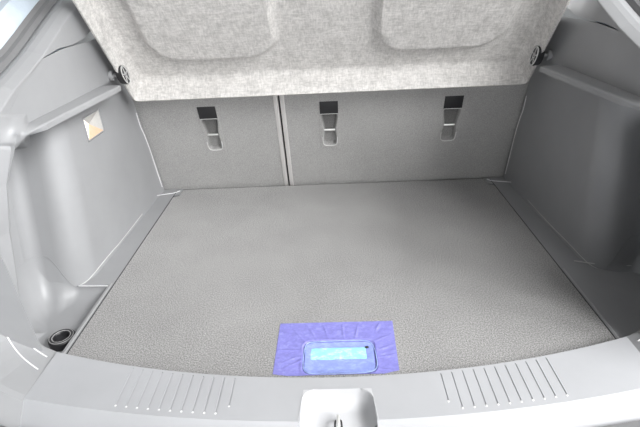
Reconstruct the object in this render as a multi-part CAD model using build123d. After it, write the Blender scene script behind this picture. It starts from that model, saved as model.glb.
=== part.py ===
from build123d import *
from math import cos, radians, sin
import os

os.makedirs("parts", exist_ok=True)

# Lengths are millimetres. X runs across the car, Y forward, and heights are counted from the load
# floor's top until the last step, which lifts the whole model onto its underside.

# The luggage compartment's main sizes.
floor_height = 150.0
floor_half = 500.0
floor_front = 400.0
floor_back_side = -328.0
floor_bow = 75.0
floor_thick = 18.0
floor_notch = 18.0
floor_notch_long = 51.0
floor_notch_gap = 13.0
seam = 2.0
seat_gap = 14.0
recline = 15.8
rest_gap = 0.3
steel = 3.0
plastic = 3.0
far = 900.0
floor_back_middle = floor_back_side - floor_bow

# The pull handle set into the load floor.
handle_x = 5.0
handle_y = floor_back_middle + 55.0
handle_long = 134.0
handle_wide = 84.0
handle_deep = 12.0
handle_corner = 12.0
handle_wall = 3.0
finger_half = 110.0
finger_deep = 8.0

# Sill trim, from its inner edge to the outer slope.
sill_top = 20.0
sill_wide_side = 114.0
sill_wide_middle = 94.0
sill_slope_side = 34.0
sill_slope_middle = 25.0
sill_draft = 9.0
sill_foot = -16.0
sill_half = floor_half + 5.0
sill_flat_side = floor_back_side - sill_wide_side
sill_flat_middle = floor_back_middle - sill_wide_middle
sill_outer_side = sill_flat_side - sill_slope_side
sill_outer_middle = sill_flat_middle - sill_slope_middle
groove_count = 11
groove_first = 168.0
groove_pitch = 18.0
groove_width = 2.4
groove_deep = 1.2
groove_inset = 12.0
groove_front_bow = 75.0
groove_back_bow = 55.0
groove_short = 14.0
pocket_half_inner = 54.0
pocket_half_outer = 60.0
pocket_front = sill_flat_middle + 59.0
pocket_floor = -8.0
slot_half = 3.5
slot_front = sill_flat_middle + 25.0
striker_front = sill_flat_middle + 19.0
striker_long = 26.0
striker_top = 12.0
striker_radius = 2.8

# Side trims. The wall leans in from its foot to the rail and turns round the wheelhouse into the pocket.
ledge_wide = 45.0
wall_turn_out = 13.0
wall_lean_front = 5.0
wall_lean_rear = 10.0
bulge_back_low = floor_back_side + 210.0
bulge_back_rise = 68.0
bulge_radius_low = 62.0
bulge_radius_loss = 17.0
pocket_wide = 172.0
pocket_loss = 20.0
pocket_corner = 26.0
pocket_deep = 32.0
pocket_rim = 10.0
open_past = 20.0
step_reach = 14.0
rail_top = 392.0
nose_deep = 12.0
rail_front = floor_back_side + 466.0
upper_foot = floor_half + 35.0
upper_seam = 492.0
upper_front = floor_front - 70.0
wall_front_low = floor_half + ledge_wide
wall_rear_low = wall_front_low + wall_turn_out
pocket_outer = floor_half + pocket_wide

# Luggage lamp in the left trim and the round socket in its pocket.
lamp_back = 46.0
lamp_front = 130.0
lamp_low = 286.0
lamp_high = 342.0
lamp_inner = floor_half + 49.0
lamp_deep = 23.0
lamp_wall = 3.0
socket_x = floor_half + 47.0
socket_y = floor_back_side + 66.0
socket_radius = 25.0
socket_bore = 16.0
socket_high = 16.0

# Seat backs, in the seat's own upright frame: y is depth from the rear face, z is height along it.
seat_half = wall_front_low + 8.0
seat_split = -139.0
split_gap = 8.0
seat_low = -28.0
seat_high = 500.0
seat_panel = 22.0
foam_thick = 80.0
foam_low = 30.0
foam_inset = 8.0
hinge_forward = floor_front + 55.0
hinge_height = -35.0
hinge_pin_radius = 6.0
pin_clearance = 0.3
ear_thick = 6.0
ear_inset = 20.0
hinge_plate = 8.0
hinge_gap = 1.0
tether_places = (153.0 - floor_half, 0.0, floor_half - 150.0)
cup_wide = 52.0
cup_low = 138.0
cup_high = 266.0
cup_wall = 2.0
cup_deep = 20.0
tether_height = 197.5
tether_radius = 3.0
tether_half = 18.0
rest_places = (153.0 - floor_half, 60.0, floor_half - 155.0)
rest_wide = floor_half / 2
rest_deep = 76.0
rest_high = 96.0
rest_lift = 78.0
post_radius = 6.0
post_half = 70.0

# Parcel shelf, closed, with its pivot as its origin.
shelf_pivot_forward = floor_front - 205.0
shelf_pivot_height = 405.0
shelf_raised = 54.0
shelf_half = floor_half + 5.0
shelf_flare = 20.0
shelf_front = 88.0
shelf_front_bend = 60.0
shelf_back = -435.0
shelf_back_bend = -423.0
shelf_lip = rail_top - shelf_pivot_height + rest_gap
shelf_under = 40.0
shelf_thick = 6.0
shelf_corner = 24.0
shelf_pivot_radius = 5.0
pivot_hole = 9.0
clip_radius = 15.0
clip_outer = 17.6
clip_wide = 14.0
tray_inner = 106.0
tray_outer = shelf_half - 73.0
tray_front = 2.0
tray_back = shelf_back + 55.0
tray_deep = 16.0
tray_corner = 85.0

# Body shell under and round the compartment.
pan_height = -60.0
well_half = floor_half - 30.0
well_front = floor_front - 12.0
well_back = floor_back_side + 2.0
well_corner = 40.0
member_front = floor_front + 40.0
member_half = floor_half + 60.0
beam_wide = 80.0
beam_back = floor_back_side + 20.0
arch_inner = seat_half + 25.0
panel_side = arch_inner + 122.0
panel_front = floor_front + 80.0
panel_shoulder = 400.0
panel_top = 545.0
panel_lean = 60.0
pan_half = panel_side + steel
wheel_forward = floor_front - 160.0
wheel_height = -60.0
arch_radius = 340.0
arch_bend = 40.0
bolt_half_x = floor_half + beam_wide / 2
bolt_front = floor_front - 20.0
bolt_back = floor_back_side + 28.0
bolt_radius = 5.5

# The opening's ring: place of the inner trim edge, the turn of the trim's face (90 faces up on the
# sill, 0 faces rearward on the pillar), the widths of face and outer slope, the slope's drop, the
# depth of the inner wall and the rise of the painted gutter beside the seal. X is counted from the
# load floor's side and y from its rear corner.
ring = (
    # x, y, height, turn, rise, face, slope, drop, wall, gutter
    (5, -4, 12, 90, 0, 110, 34, 34, 20, 0),
    (45, 6, 29, 88, 0, 106, 34, 32, 24, 6),
    (77, 25, 54, 80, 0, 100, 32, 28, 30, 12),
    (94, 44, 90, 70, 0, 94, 30, 23, 24, 20),
    (97, 56, 155, 62, 0, 88, 28, 18, 20, 28),
    (90, 72, 250, 50, 0, 78, 26, 14, 20, 34),
    (62, 88, 350, 30, 0, 64, 22, 10, 20, 40),
    (31, 104, 429, 12, 0, 34, 16, 8, 20, 46),
    (30, 271, 493, 0, 0, 34, 16, 8, 5, 46),
    (28, 415, 556, 0, 0, 34, 16, 8, 60, 46),
    (15, 568, 622, 0, 0, 34, 16, 8, 60, 46),
    (-48, 713, 692, -50, 18, 34, 16, 8, 24, 40),
    (-floor_half / 2, 756, 714, -84, 24, 34, 16, 8, 24, 34),
    (-floor_half, 766, 720, -90, 24, 34, 16, 8, 24, 34),
)
ring_steps = 3
corner_end = 6
upper_end = 8
pillar_end = 10
trim_rise = 8.0
seal_wide = 20.0
body_edge = 58.0
body_deep = 46.0

# The side trim's framing edge, from the rail's front end to the foot of the rear ridge: the nose,
# then where its flange ends. X and y are counted as in the ring.
frame_edge = (
    # nose x, y, height, outer x, y, height
    (-14, 466, 392, 53, 466, 392),
    (-8, 328, 392, 53, 328, 392),
    (-3, 235, 392, 53, 235, 392),
    (3, 168, 390, 48, 160, 393),
    (15, 130, 382, 42, 116, 404),
    (36, 112, 360, 53, 92, 372),
    (60, 102, 305, 77, 79, 305),
    (80, 90, 216, 95, 65, 216),
    (88, 72, 130, 98, 51, 130),
    (91, 60, 90, 95, 43, 88),
)
# Where the pocket's rear wall ends at each height: height, x, y.
ridge_line = ((0, 100, 36), (130, 89, 72), (216, 81, 90), (305, 61, 102), (389, 21, 116))



def block(x, y, z):
    """A box from its three low and high pairs."""
    size = [high - low for low, high in (x, y, z)]
    middle = [(high + low) / 2 for low, high in (x, y, z)]
    return Pos(*middle) * Box(*size)


def plate(points, low, high):
    """A plan outline raised from one height to another."""
    return extrude(Pos(0, 0, low) * make_face(Polyline(*points, close=True)), amount=high - low)


def side_plate(points, low, high):
    """An outline in Y and height, thick along X."""
    face = make_face(Polyline(*points, close=True))
    return Pos(low, 0, 0) * extrude(Plane.YZ * face, amount=high - low)


def across_plate(points, low, high):
    """An outline in X and height, long along Y."""
    face = make_face(Polyline(*points, close=True))
    return Pos(0, high, 0) * extrude(Plane.XZ * face, amount=high - low)


def rod(radius, start, end):
    """A round bar between two points."""
    line = Line(start, end)
    return sweep(Plane(origin=start, z_dir=line % 0) * Circle(radius), path=line)


def rear_band(near_side, near_middle, far_side, far_middle, half, height):
    """A flat face between two arcs that run across the car."""
    near = ThreePointArc((-half, near_side), (0, near_middle), (half, near_side))
    far = ThreePointArc((-half, far_side), (0, far_middle), (half, far_side))
    ends = Line(near @ 0, far @ 0), Line(near @ 1, far @ 1)
    return Pos(0, 0, height) * make_face([near, far, *ends])


def band_block(low, high):
    """A solid between two flat bands at different heights."""
    return loft([low, high], ruled=True)


def mirrored(shape):
    return mirror(shape, about=Plane.YZ)


def together(pieces):
    """Pieces that share a node without touching."""
    whole = pieces[0]
    for piece in pieces[1:]:
        whole = whole + piece
    return whole


def seat_frame():
    """The seat backs' upright frame, laid back into the car."""
    return Pos(0, floor_front + seat_gap, 0) * Rot(recline, 0, 0)


def shelf_frame():
    """The closed shelf's frame, raised about its pivot."""
    return Pos(0, shelf_pivot_forward, shelf_pivot_height) * Rot(-shelf_raised, 0, 0)


def behind_seats():
    """All space from the seat backs forward, with the trims' gap to them."""
    shape = block((-far, far), (-6, far), (-far, far))
    return seat_frame() * shape


# Load floor
def make_load_floor():
    back = ThreePointArc(
        (-floor_half, floor_back_side), (0, floor_back_middle), (floor_half, floor_back_side)
    )
    notch_half = floor_half - floor_notch
    step = floor_front - floor_notch_long
    sides = Polyline(
        back @ 1, (floor_half, step), (notch_half, step + 6), (notch_half, floor_front),
        (-notch_half, floor_front), (-notch_half, step + 6), (-floor_half, step), back @ 0,
    )
    board = extrude(make_face([back, sides]), amount=-floor_thick)
    finger = block(
        (-finger_half, finger_half), (floor_back_middle - 20, floor_back_middle + finger_deep), (-30, 5)
    )
    return board - finger - handle_block(0, -handle_deep, 5)


def handle_block(inset, low, high):
    """The handle's rounded plan, smaller by an inset on every side."""
    plan = RectangleRounded(handle_long - 2 * inset, handle_wide - 2 * inset, handle_corner - inset)
    return Pos(handle_x, handle_y, low) * extrude(plan, amount=high - low)


def make_floor_handle():
    """A cup with a grip bar across its front half."""
    cup = handle_block(rest_gap, rest_gap - handle_deep, 0)
    hollow = handle_block(handle_wall, 2 - handle_deep, 5)
    grip_half = handle_long / 2 - 15
    grip_y = handle_y + 17
    grip = Pos(handle_x, grip_y, -6) * Box(2 * grip_half, 20, 4)
    joins = [
        Pos(handle_x + side * (grip_half + 2), grip_y, -8) * Box(10, 14, 5) for side in (-1, 1)
    ]
    return cup - hollow + grip + joins[0] + joins[1]


def make_handle_film():
    """The protective film's sheet over the handle."""
    x, y = handle_x, handle_y
    outline = (
        (x - 113, y + 90), (x + 105, y + 89), (x + 101, y - 36), (x + 75, y - 42), (x - 89, y - 42),
        (x - 115, y - 38),
    )
    return plate(outline, rest_gap, rest_gap + 1.0)


# Sill trim
def sill_solid(grow, low, high):
    inner_side, inner_middle = floor_back_side - seam, floor_back_middle - seam
    bottom = rear_band(
        inner_side - grow, inner_middle - grow,
        sill_outer_side + grow, sill_outer_middle + grow, sill_half, low,
    )
    top = rear_band(
        inner_side - sill_draft - grow, inner_middle - sill_draft - grow,
        sill_flat_side + grow, sill_flat_middle + grow, sill_half, high,
    )
    return band_block(bottom, top)


def pocket_plan(grow, low, high):
    back = sill_outer_middle - 20
    points = (
        (-pocket_half_inner - grow, pocket_front + grow),
        (pocket_half_inner + grow, pocket_front + grow),
        (pocket_half_outer + grow, back),
        (-pocket_half_outer - grow, back),
    )
    return plate(points, low, high)


def make_sill_trim():
    outer = sill_solid(0, sill_foot, sill_top)
    inner = sill_solid(plastic, sill_foot - plastic, sill_top - plastic)
    shell = outer - inner
    well = pocket_plan(plastic, pocket_floor - plastic, sill_top) & outer
    shell = shell + well - pocket_plan(0, pocket_floor, sill_top + 5)
    slot = block((-slot_half, slot_half), (-far, slot_front), (sill_foot - 5, 0))
    shell = shell - slot
    for index in range(groove_count):
        place = groove_first + index * groove_pitch
        share = (place / sill_half) ** 2
        front = floor_back_middle - seam - sill_draft + share * groove_front_bow - groove_inset + 7
        back = sill_flat_middle + share * groove_back_bow + groove_inset
        if index == 0:
            back = back + groove_short
        for side in (-1, 1):
            shell = shell - block(
                (side * place - groove_width / 2, side * place + groove_width / 2),
                (back, front), (sill_top - groove_deep, sill_top + 5),
            )
    return shell


# The ring of trims and body round the opening
def ring_rows():
    """The ring's stations in place, with more of them between on a smooth line."""
    rows = [(floor_half + row[0], floor_back_side + row[1], *row[2:]) for row in ring]
    reach = [0.0]
    for before, after in zip(rows, rows[1:]):
        reach.append(reach[-1] + (Vector(*after[:3]) - Vector(*before[:3])).length)
    last = len(rows) - 1

    def slope(index, column):
        low, high = max(index - 1, 0), min(index + 1, last)
        return (rows[high][column] - rows[low][column]) / (reach[high] - reach[low])

    result = []
    for index in range(last):
        span = reach[index + 1] - reach[index]
        for step in range(ring_steps):
            t = step / ring_steps
            row = []
            for column in range(len(rows[0])):
                start, end = rows[index][column], rows[index + 1][column]
                leave, arrive = slope(index, column) * span, slope(index + 1, column) * span
                row.append(
                    start * (2 * t**3 - 3 * t**2 + 1) + leave * (t**3 - 2 * t**2 + t)
                    + end * (3 * t**2 - 2 * t**3) + arrive * (t**3 - t**2)
                )
            result.append(tuple(row))
    return result + [rows[-1]]


def ring_planes(rows):
    """A section plane at each station, its x axis outward on the trim's face."""
    places = [Vector(*row[:3]) for row in rows]
    planes = []
    for index, row in enumerate(rows):
        along = (places[min(index + 1, len(rows) - 1)] - places[max(index - 1, 0)]).normalized()
        if index == 0:
            along = Vector(1, 0, 0)
        if index == len(rows) - 1:
            along = Vector(-1, 0, 0)
        turn, rise = radians(row[3]), radians(row[4])
        outward = Vector(cos(turn) * cos(rise), -sin(turn) * cos(rise), sin(rise))
        outward = (outward - along * outward.dot(along)).normalized()
        planes.append(Plane(origin=places[index], x_dir=outward, z_dir=-along))
    return planes


def ring_sections(profile, first, last):
    """One profile drawn at each station of a run."""
    rows = ring_rows()
    planes = ring_planes(rows)
    sections = []
    for index in range(first * ring_steps, last * ring_steps + 1):
        points = profile(*rows[index][5:])
        sections.append(planes[index] * make_face(Polyline(*points, close=True)))
    return sections


def ring_solid(profile, first, last):
    """A ruled loft of one profile through a run of stations."""
    return loft(ring_sections(profile, first, last), ruled=True)


def trim_profile(face, slope, drop, wall, gutter):
    """A crowned face with a rounded inner edge and a rounded crest above the outer slope."""
    t, rise, edge = plastic, trim_rise, face + slope
    return (
        (0, -3), (1, -1), (3, 0), (face / 2, rise * 0.7), (face - 6, rise), (face + 3, rise - 1.5),
        (edge, rise - drop), (edge, rise - drop - t), (face + 2, rise - 2 - t), (face - 6, rise - t),
        (face / 2, rise * 0.7 - t), (t + 1, -t), (t, -t - 1), (t, -wall), (0, -wall),
    )


def body_profile(face, slope, drop, wall, gutter):
    edge = face + slope
    low = trim_rise - drop
    return (
        (edge + 1, low - 4), (edge + seal_wide + 2, low + 2 + gutter * 0.2), (edge + 40, low + gutter),
        (edge + body_edge, low + gutter), (edge + body_edge, -body_deep), (16, -body_deep), (16, low - 5),
        (edge - 6, low - 9),
    )


def seal_profile(face, slope, drop, wall, gutter):
    edge = face + slope
    low = trim_rise - drop
    lift = gutter * 0.2
    return (
        (edge + 1, low), (edge + 6, low + 8), (edge + 15, low + 9), (edge + seal_wide, low + 7 + lift),
        (edge + seal_wide, low + 4 + lift), (edge + 2, low - 2),
    )


def clearing_profile(face, slope, drop, wall, gutter):
    """What the ring fills, with a small gap, to be cut from the side trims."""
    gap = 0.4
    edge = face + slope + body_edge + seam
    deep = body_deep + seam
    return (
        (-gap, 14), (edge, 14 + gutter), (edge, -deep), (14, -deep), (14, -wall - gap), (-gap, -wall - gap),
    )


def make_corner_trim():
    return ring_solid(trim_profile, 0, corner_end)


def make_upper_trim():
    strip = ring_solid(trim_profile, corner_end, upper_end)
    foot = rail_top + rest_gap
    back = floor_back_side
    outline = (
        (back + 160, foot), (upper_front, foot), (upper_front, upper_seam + 10), (back + 478, upper_seam),
        (back + 348, upper_seam), (back + 271, upper_seam - 6), (back + 104, 428), (back + 118, 412),
    )
    panel = side_plate(outline, upper_foot - plastic, upper_foot)
    return strip + panel - behind_seats()


def make_pillar_trim():
    return ring_solid(trim_profile, upper_end, pillar_end)


def make_pillar():
    return ring_solid(body_profile, 0, pillar_end)


def make_header(profile):
    half = ring_solid(profile, pillar_end, len(ring) - 1)
    return half + mirrored(half)


def make_weatherstrip():
    """The rubber seal: the ring's two sides and a band behind the sill."""
    side = ring_solid(seal_profile, 0, len(ring) - 1)
    foot = ring[0][2] + trim_rise - ring[0][7]
    low = rear_band(
        sill_outer_side - 1, sill_outer_middle - 1, sill_outer_side - seal_wide,
        sill_outer_middle - seal_wide, sill_half, foot - 2,
    )
    return side + mirrored(side) + extrude(low, amount=11)


# Lower side trims
def arc_corner(start, centre, end, radius):
    """A quarter round from start to end about a centre."""
    start, centre, end = (Vector(*tuple(point)[:2]) for point in (start, centre, end))
    middle = centre + ((start + end) / 2 - centre).normalized() * radius
    return ThreePointArc(start, middle, end)


def trim_plan(share, end_x, end_y, past=0):
    """The free space beside the load floor at a share of the rail's height, open edges moved out by past."""
    front = floor_front + 20
    wall_front = wall_front_low - wall_lean_front * share
    wall_rear = wall_rear_low - wall_lean_rear * share
    back = bulge_back_low + bulge_back_rise * share
    radius = bulge_radius_low - bulge_radius_loss * share
    outer = pocket_outer - pocket_loss * share
    inner = floor_half - 70
    wall = Line((wall_front, front), (wall_rear, back + radius))
    bend = arc_corner(wall @ 1, (wall_rear + radius, back + radius), (wall_rear + radius, back), radius)
    shelf = Line(bend @ 1, (outer - pocket_corner, back))
    pivot = (outer - pocket_corner, back - pocket_corner)
    turn = arc_corner(shelf @ 1, pivot, (outer, back - pocket_corner), pocket_corner)
    middle = ((outer + end_x) / 2 + 22, (back + end_y) / 2 - 50)
    rear = ThreePointArc(turn @ 1, middle, (end_x, end_y))
    rest = [rear @ 1, (inner, end_y), (inner, front), wall @ 0]
    if past:
        low, high, near = end_y - past, front + past, inner - past
        rest = [rear @ 1, (end_x, low), (near, low), (near, high), (wall_front, high), wall @ 0]
    return make_face([wall, bend, shelf, turn, rear, Polyline(*rest)])


def floor_plan():
    """The pocket's floor, out to the load floor's rear corner."""
    return trim_plan(0, floor_half + 12, floor_back_side - 1)


def side_space(grow):
    """The space inside the trim, from the pocket floor to the rail, ending at the rear ridge."""
    sections = []
    for height, x, y in ridge_line:
        past = 0 if grow else open_past
        face = trim_plan(height / rail_top, floor_half + x, floor_back_side + y, past)
        if grow:
            face = offset(face, amount=grow, kind=Kind.INTERSECTION)
        sections.append(Pos(0, 0, height) * face)
    return loft(sections, ruled=True)


def make_frame_edge():
    """The rail and the rear ridge: a flange with a rounded nose along a curved edge."""
    places = [(Vector(floor_half + row[0], floor_back_side + row[1], row[2]),
               Vector(floor_half + row[3], floor_back_side + row[4], row[5])) for row in frame_edge]
    sections = []
    for index, (nose, outer) in enumerate(places):
        along = places[min(index + 1, len(places) - 1)][0] - places[max(index - 1, 0)][0]
        wide = outer - nose
        along = (along - wide.normalized() * along.dot(wide.normalized())).normalized()
        plane = Plane(origin=nose, x_dir=wide, z_dir=along)
        reach, t = wide.length, plastic
        points = (
            (0, -nose_deep), (0, -3), (1, -1), (3, 0), (reach, 0), (reach, -t), (t + 1, -t), (t, -t - 1),
            (t, -nose_deep),
        )
        sections.append(plane * make_face(Polyline(*points, close=True)))
    return loft(sections, ruled=True)


def rectangle(x, y):
    """A flat rectangle from its low and high pairs."""
    return Pos((x[0] + x[1]) / 2, (y[0] + y[1]) / 2) * Rectangle(x[1] - x[0], y[1] - y[0])


def make_side_trim(deep_pocket):
    """Wall, ledge beside the load floor, pocket floor and framing edge of the right side."""
    ledge = floor_half + seam
    front = floor_front + 12
    edge = wall_rear_low + 15
    low = -floor_thick
    back = floor_back_side + 2
    pocket_end = bulge_back_low + 12
    step = pocket_end + 14
    plan = floor_plan()
    grown = offset(plan, amount=plastic, kind=Kind.INTERSECTION)
    pocket = rectangle((ledge, far), (-far, pocket_end))
    notch_back = floor_front - floor_notch_long + floor_notch_gap
    notch = rectangle((floor_half - floor_notch + seam, edge), (notch_back, front))
    strip_back = pocket_end if deep_pocket else back
    flat = rectangle((ledge, edge), (strip_back, front)) + notch
    if deep_pocket:
        flat = flat + rectangle((edge - 5, edge + step_reach), (pocket_end, pocket_end + 20))
    else:
        flat = flat + (grown & pocket)
    trim = extrude(flat, amount=-plastic)
    trim = trim + block((ledge, ledge + plastic), (strip_back, front), (low - plastic, -plastic))
    trim = trim + block((ledge - 20, ledge + plastic), (back, front), (low - plastic, low - rest_gap))
    if deep_pocket:
        bottom = extrude(grown & pocket, amount=plastic)
        walls = extrude((grown - plan) & pocket, amount=pocket_deep - plastic)
        walls = walls + block((ledge, ledge + pocket_rim), (back, step), (0, pocket_deep - plastic))
        end = (pocket_end - plastic, pocket_end)
        walls = walls + block((ledge + plastic, edge + step_reach), end, (0, pocket_deep - plastic))
        tub = bottom + Pos(0, 0, plastic) * walls
        trim = trim + Pos(0, 0, -pocket_deep) * tub
    shell = side_space(plastic) - side_space(0)
    shell = shell & block((ledge, far), (-far, far), (-far, rail_top - 1))
    trim = trim + shell + make_frame_edge()
    trim = trim & block((0, far), (floor_back_side - seam + rest_gap, far), (-far, far))
    sections = ring_sections(clearing_profile, 0, upper_end)
    for before, after in zip(sections, sections[1:]):
        trim = trim - loft([before, after], ruled=True)
    return trim - behind_seats()


def lamp_block(inset, inner, outer):
    return block(
        (-outer, -inner), (lamp_back + inset, lamp_front - inset), (lamp_low + inset, lamp_high - inset)
    )


def make_lamp():
    """A square recess with a four-sided faceted lens."""
    outer = lamp_inner + lamp_deep
    frame = lamp_block(rest_gap, lamp_inner, outer)
    hollow = lamp_block(lamp_wall, 0, outer - lamp_wall)
    room = lamp_block(lamp_wall, lamp_inner, outer - lamp_wall + 1)
    middle = Pos(lamp_wall - outer, (lamp_back + lamp_front) / 2, (lamp_low + lamp_high) / 2)
    cone = Cone(38, 4, 14, align=(Align.CENTER, Align.CENTER, Align.MIN))
    return frame - hollow + (middle * (Rot(0, 90, 0) * cone) & room)


def make_socket():
    foot = Pos(-socket_x, socket_y, plastic - pocket_deep + rest_gap)
    bottom = (Align.CENTER, Align.CENTER, Align.MIN)
    ring_body = Cylinder(socket_radius, socket_high, align=bottom)
    hole = Pos(0, 0, 3) * Cylinder(socket_bore, socket_high, align=bottom)
    return foot * (ring_body - hole)


# Seat backs
def hinge_place():
    """The hinge in the seat's upright frame."""
    lean = radians(recline)
    y = hinge_forward - floor_front - seat_gap
    z = hinge_height
    return y * cos(lean) + z * sin(lean), z * cos(lean) - y * sin(lean)


def seat_span(name):
    if name == "left":
        return -seat_half, seat_split - split_gap / 2
    return seat_split + split_gap / 2, seat_half


def ear_places(name):
    """Where the two hinge ears of a seat back start along X."""
    low, high = seat_span(name)
    return low + ear_inset, high - ear_inset - ear_thick


def make_seat_panel(name):
    low, high = seat_span(name)
    outline = RectangleRounded(high - low, seat_high - seat_low, 8)
    middle = Pos((low + high) / 2, seat_panel, (seat_high + seat_low) / 2)
    panel = middle * extrude(Plane.XZ * outline, amount=seat_panel)
    for place in tether_places:
        if low < place < high:
            panel = panel - block(
                (place - cup_wide / 2, place + cup_wide / 2), (-1, seat_panel + 1), (cup_low, cup_high)
            )
    y, z = hinge_place()
    for place in ear_places(name):
        ear = side_plate(
            ((2, 26), (seat_panel - 1, 26), (y + 13, z + 8), (y + 13, z - 8), (y - 9, z - 13)),
            place, place + ear_thick,
        )
        bore = Cylinder(hinge_pin_radius + pin_clearance, 3 * ear_thick)
        panel = panel + ear - Pos(place + ear_thick / 2, y, z) * (Rot(0, 90, 0) * bore)
    return seat_frame() * panel


def make_seat_foam(name):
    low, high = seat_span(name)
    foam = block(
        (low + foam_inset, high - foam_inset), (seat_panel + rest_gap, seat_panel + foam_thick),
        (foam_low, seat_high - 4),
    )
    foam = fillet(foam.edges().filter_by(Axis.Y), 26)
    front = foam.faces().sort_by(Axis.Y)[-1]
    foam = fillet(front.edges(), 22)
    return seat_frame() * foam


def make_head_rest(place):
    y = seat_panel + foam_thick / 2
    base = seat_high - 4 + rest_gap
    pad = Pos(place, y, base + rest_lift) * Box(rest_wide, rest_deep, rest_high)
    pad = fillet(pad.edges().filter_by(Axis.Y), 34)
    pad = fillet(pad.faces().sort_by(Axis.Y)[-1].edges() + pad.faces().sort_by(Axis.Y)[0].edges(), 16)
    top = base + rest_lift - rest_high / 2 + 20
    posts = [
        rod(post_radius, (place + side * post_half, y, base), (place + side * post_half, y, top))
        for side in (-1, 1)
    ]
    return seat_frame() * (pad + posts[0] + posts[1])


def make_tether_cups(name):
    low, high = seat_span(name)
    cups = []
    for place in tether_places:
        if low < place < high:
            cup = block(
                (place - cup_wide / 2 + rest_gap, place + cup_wide / 2 - rest_gap),
                (0, cup_deep), (cup_low + rest_gap, cup_high - rest_gap),
            )
            hollow = block(
                (place - cup_wide / 2 + cup_wall, place + cup_wide / 2 - cup_wall),
                (-1, cup_deep - cup_wall), (cup_low + cup_wall, cup_high - cup_wall),
            )
            cups.append(seat_frame() * (cup - hollow))
    return cups


def make_tether_bars(name):
    low, high = seat_span(name)
    bars = []
    end = cup_deep - cup_wall - rest_gap
    for place in tether_places:
        if low < place < high:
            path = FilletPolyline(
                (place - tether_half, end, tether_height), (place - tether_half, 6, tether_height),
                (place + tether_half, 6, tether_height), (place + tether_half, end, tether_height), radius=5,
            )
            bar = sweep(Plane(origin=path @ 0, z_dir=path % 0) * Circle(tether_radius), path=path)
            bars.append(seat_frame() * bar)
    return bars


def make_seat_hinges():
    """Upright plates on the cross member, each with the pin that its seat back turns on."""
    pieces = []
    y, z = hinge_forward, hinge_height
    for name in ("left", "right"):
        for place, side in zip(ear_places(name), (1, -1)):
            inner = place + ear_thick + hinge_gap if side == 1 else place - hinge_gap - hinge_plate
            outline = (
                (member_front + rest_gap, -90), (member_front + 12, -90), (y + 11, z - 13), (y + 11, z + 9),
                (member_front + rest_gap, z + 9),
            )
            pin_low = place - 3 if side == 1 else inner
            pin_high = inner + hinge_plate if side == 1 else place + ear_thick + 3
            pin = rod(hinge_pin_radius, (pin_low, y, z), (pin_high, y, z))
            pieces.append(side_plate(outline, inner, inner + hinge_plate) + pin)
    return pieces


# Parcel shelf
def shelf_block(grow, low, high):
    """The shelf's outside, or its inside when it is grown inward."""
    faces = []
    for height, half, back, front in (
        (low, shelf_half, shelf_back, shelf_front),
        (high, shelf_half - shelf_flare, shelf_back_bend, shelf_front_bend),
    ):
        plan = RectangleRounded(2 * (half - grow), front - back - 2 * grow, shelf_corner - grow)
        faces.append(Pos(0, (front + back) / 2, height) * plan)
    return loft(faces, ruled=True)


def make_parcel_shelf():
    top = shelf_under + shelf_thick
    shelf = shelf_block(0, shelf_lip, top) - shelf_block(shelf_thick, shelf_lip, shelf_under)
    wide = tray_outer - tray_inner
    long = tray_front - tray_back
    for side in (-1, 1):
        middle = Pos(side * (tray_outer + tray_inner) / 2, (tray_front + tray_back) / 2, 0)
        bump = middle * Pos(0, 0, shelf_under) * extrude(
            RectangleRounded(wide, long, tray_corner), amount=-tray_deep, taper=20
        )
        hollow = middle * Pos(0, 0, top) * extrude(
            RectangleRounded(wide - 4, long - 4, tray_corner - 2), amount=-tray_deep, taper=20
        )
        shelf = shelf + bump - hollow
    hole = Rot(0, 90, 0) * Cylinder(pivot_hole, 3 * shelf_half)
    return shelf_frame() * (shelf - hole)


def make_shelf_clip():
    """A round bush against the shelf's side wall, with a web up to its underside."""
    high = shelf_half - clip_outer
    low = high - clip_wide
    disc = Pos((low + high) / 2, 0, 0) * (Rot(0, 90, 0) * Cylinder(clip_radius, clip_wide))
    web = block((low, low + 5), (-12, 12), (0, shelf_under - rest_gap))
    bore = Pos(high, 0, 0) * (Rot(0, 90, 0) * Cylinder(shelf_pivot_radius + pin_clearance, 60))
    return shelf_frame() * (disc + web - bore)


def make_shelf_pivot():
    """A pin on the upper trim, with its round foot."""
    foot = upper_foot - plastic - rest_gap
    inner = shelf_half - clip_outer - clip_wide + 2
    pin = rod(shelf_pivot_radius, (inner, 0, 0), (foot - 2, 0, 0))
    boss = Pos(foot - 5, 0, 0) * (Rot(0, 90, 0) * Cylinder(12, 10))
    return Pos(0, shelf_pivot_forward, shelf_pivot_height) * (pin + boss)


# Body shell
def well_block(inset, low, high):
    """The floor pan's well in plan, smaller by an inset on every side."""
    plan = RectangleRounded(
        2 * (well_half - inset), well_front - well_back - 2 * inset, well_corner - inset
    )
    return Pos(0, (well_front + well_back) / 2, low) * extrude(plan, amount=high - low)


def make_floor_pan():
    edge = floor_back_side + 26
    front = floor_front + 2
    back_side = floor_back_side - 16 + rest_gap
    back_middle = floor_back_middle - 16 + rest_gap
    flange = block((-pan_half, pan_half), (edge, front), (pan_height - steel, pan_height))
    far_edge = ThreePointArc((-sill_half, back_side), (0, back_middle), (sill_half, back_side))
    near = Polyline(far_edge @ 1, (sill_half, edge + 10), (-sill_half, edge + 10), far_edge @ 0)
    rear = Pos(0, 0, pan_height - steel) * make_face([far_edge, near])
    flange = flange + extrude(rear, amount=steel)
    for side in (-1, 1):
        wheel = block((arch_inner + steel, far), (wheel_forward - arch_radius, front + 5), (-90, 0))
        flange = flange - (wheel if side == 1 else mirrored(wheel))
    outer = well_block(0, -floor_height, pan_height)
    inner = well_block(steel, steel - floor_height, pan_height + 5)
    return flange + outer - inner


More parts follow.
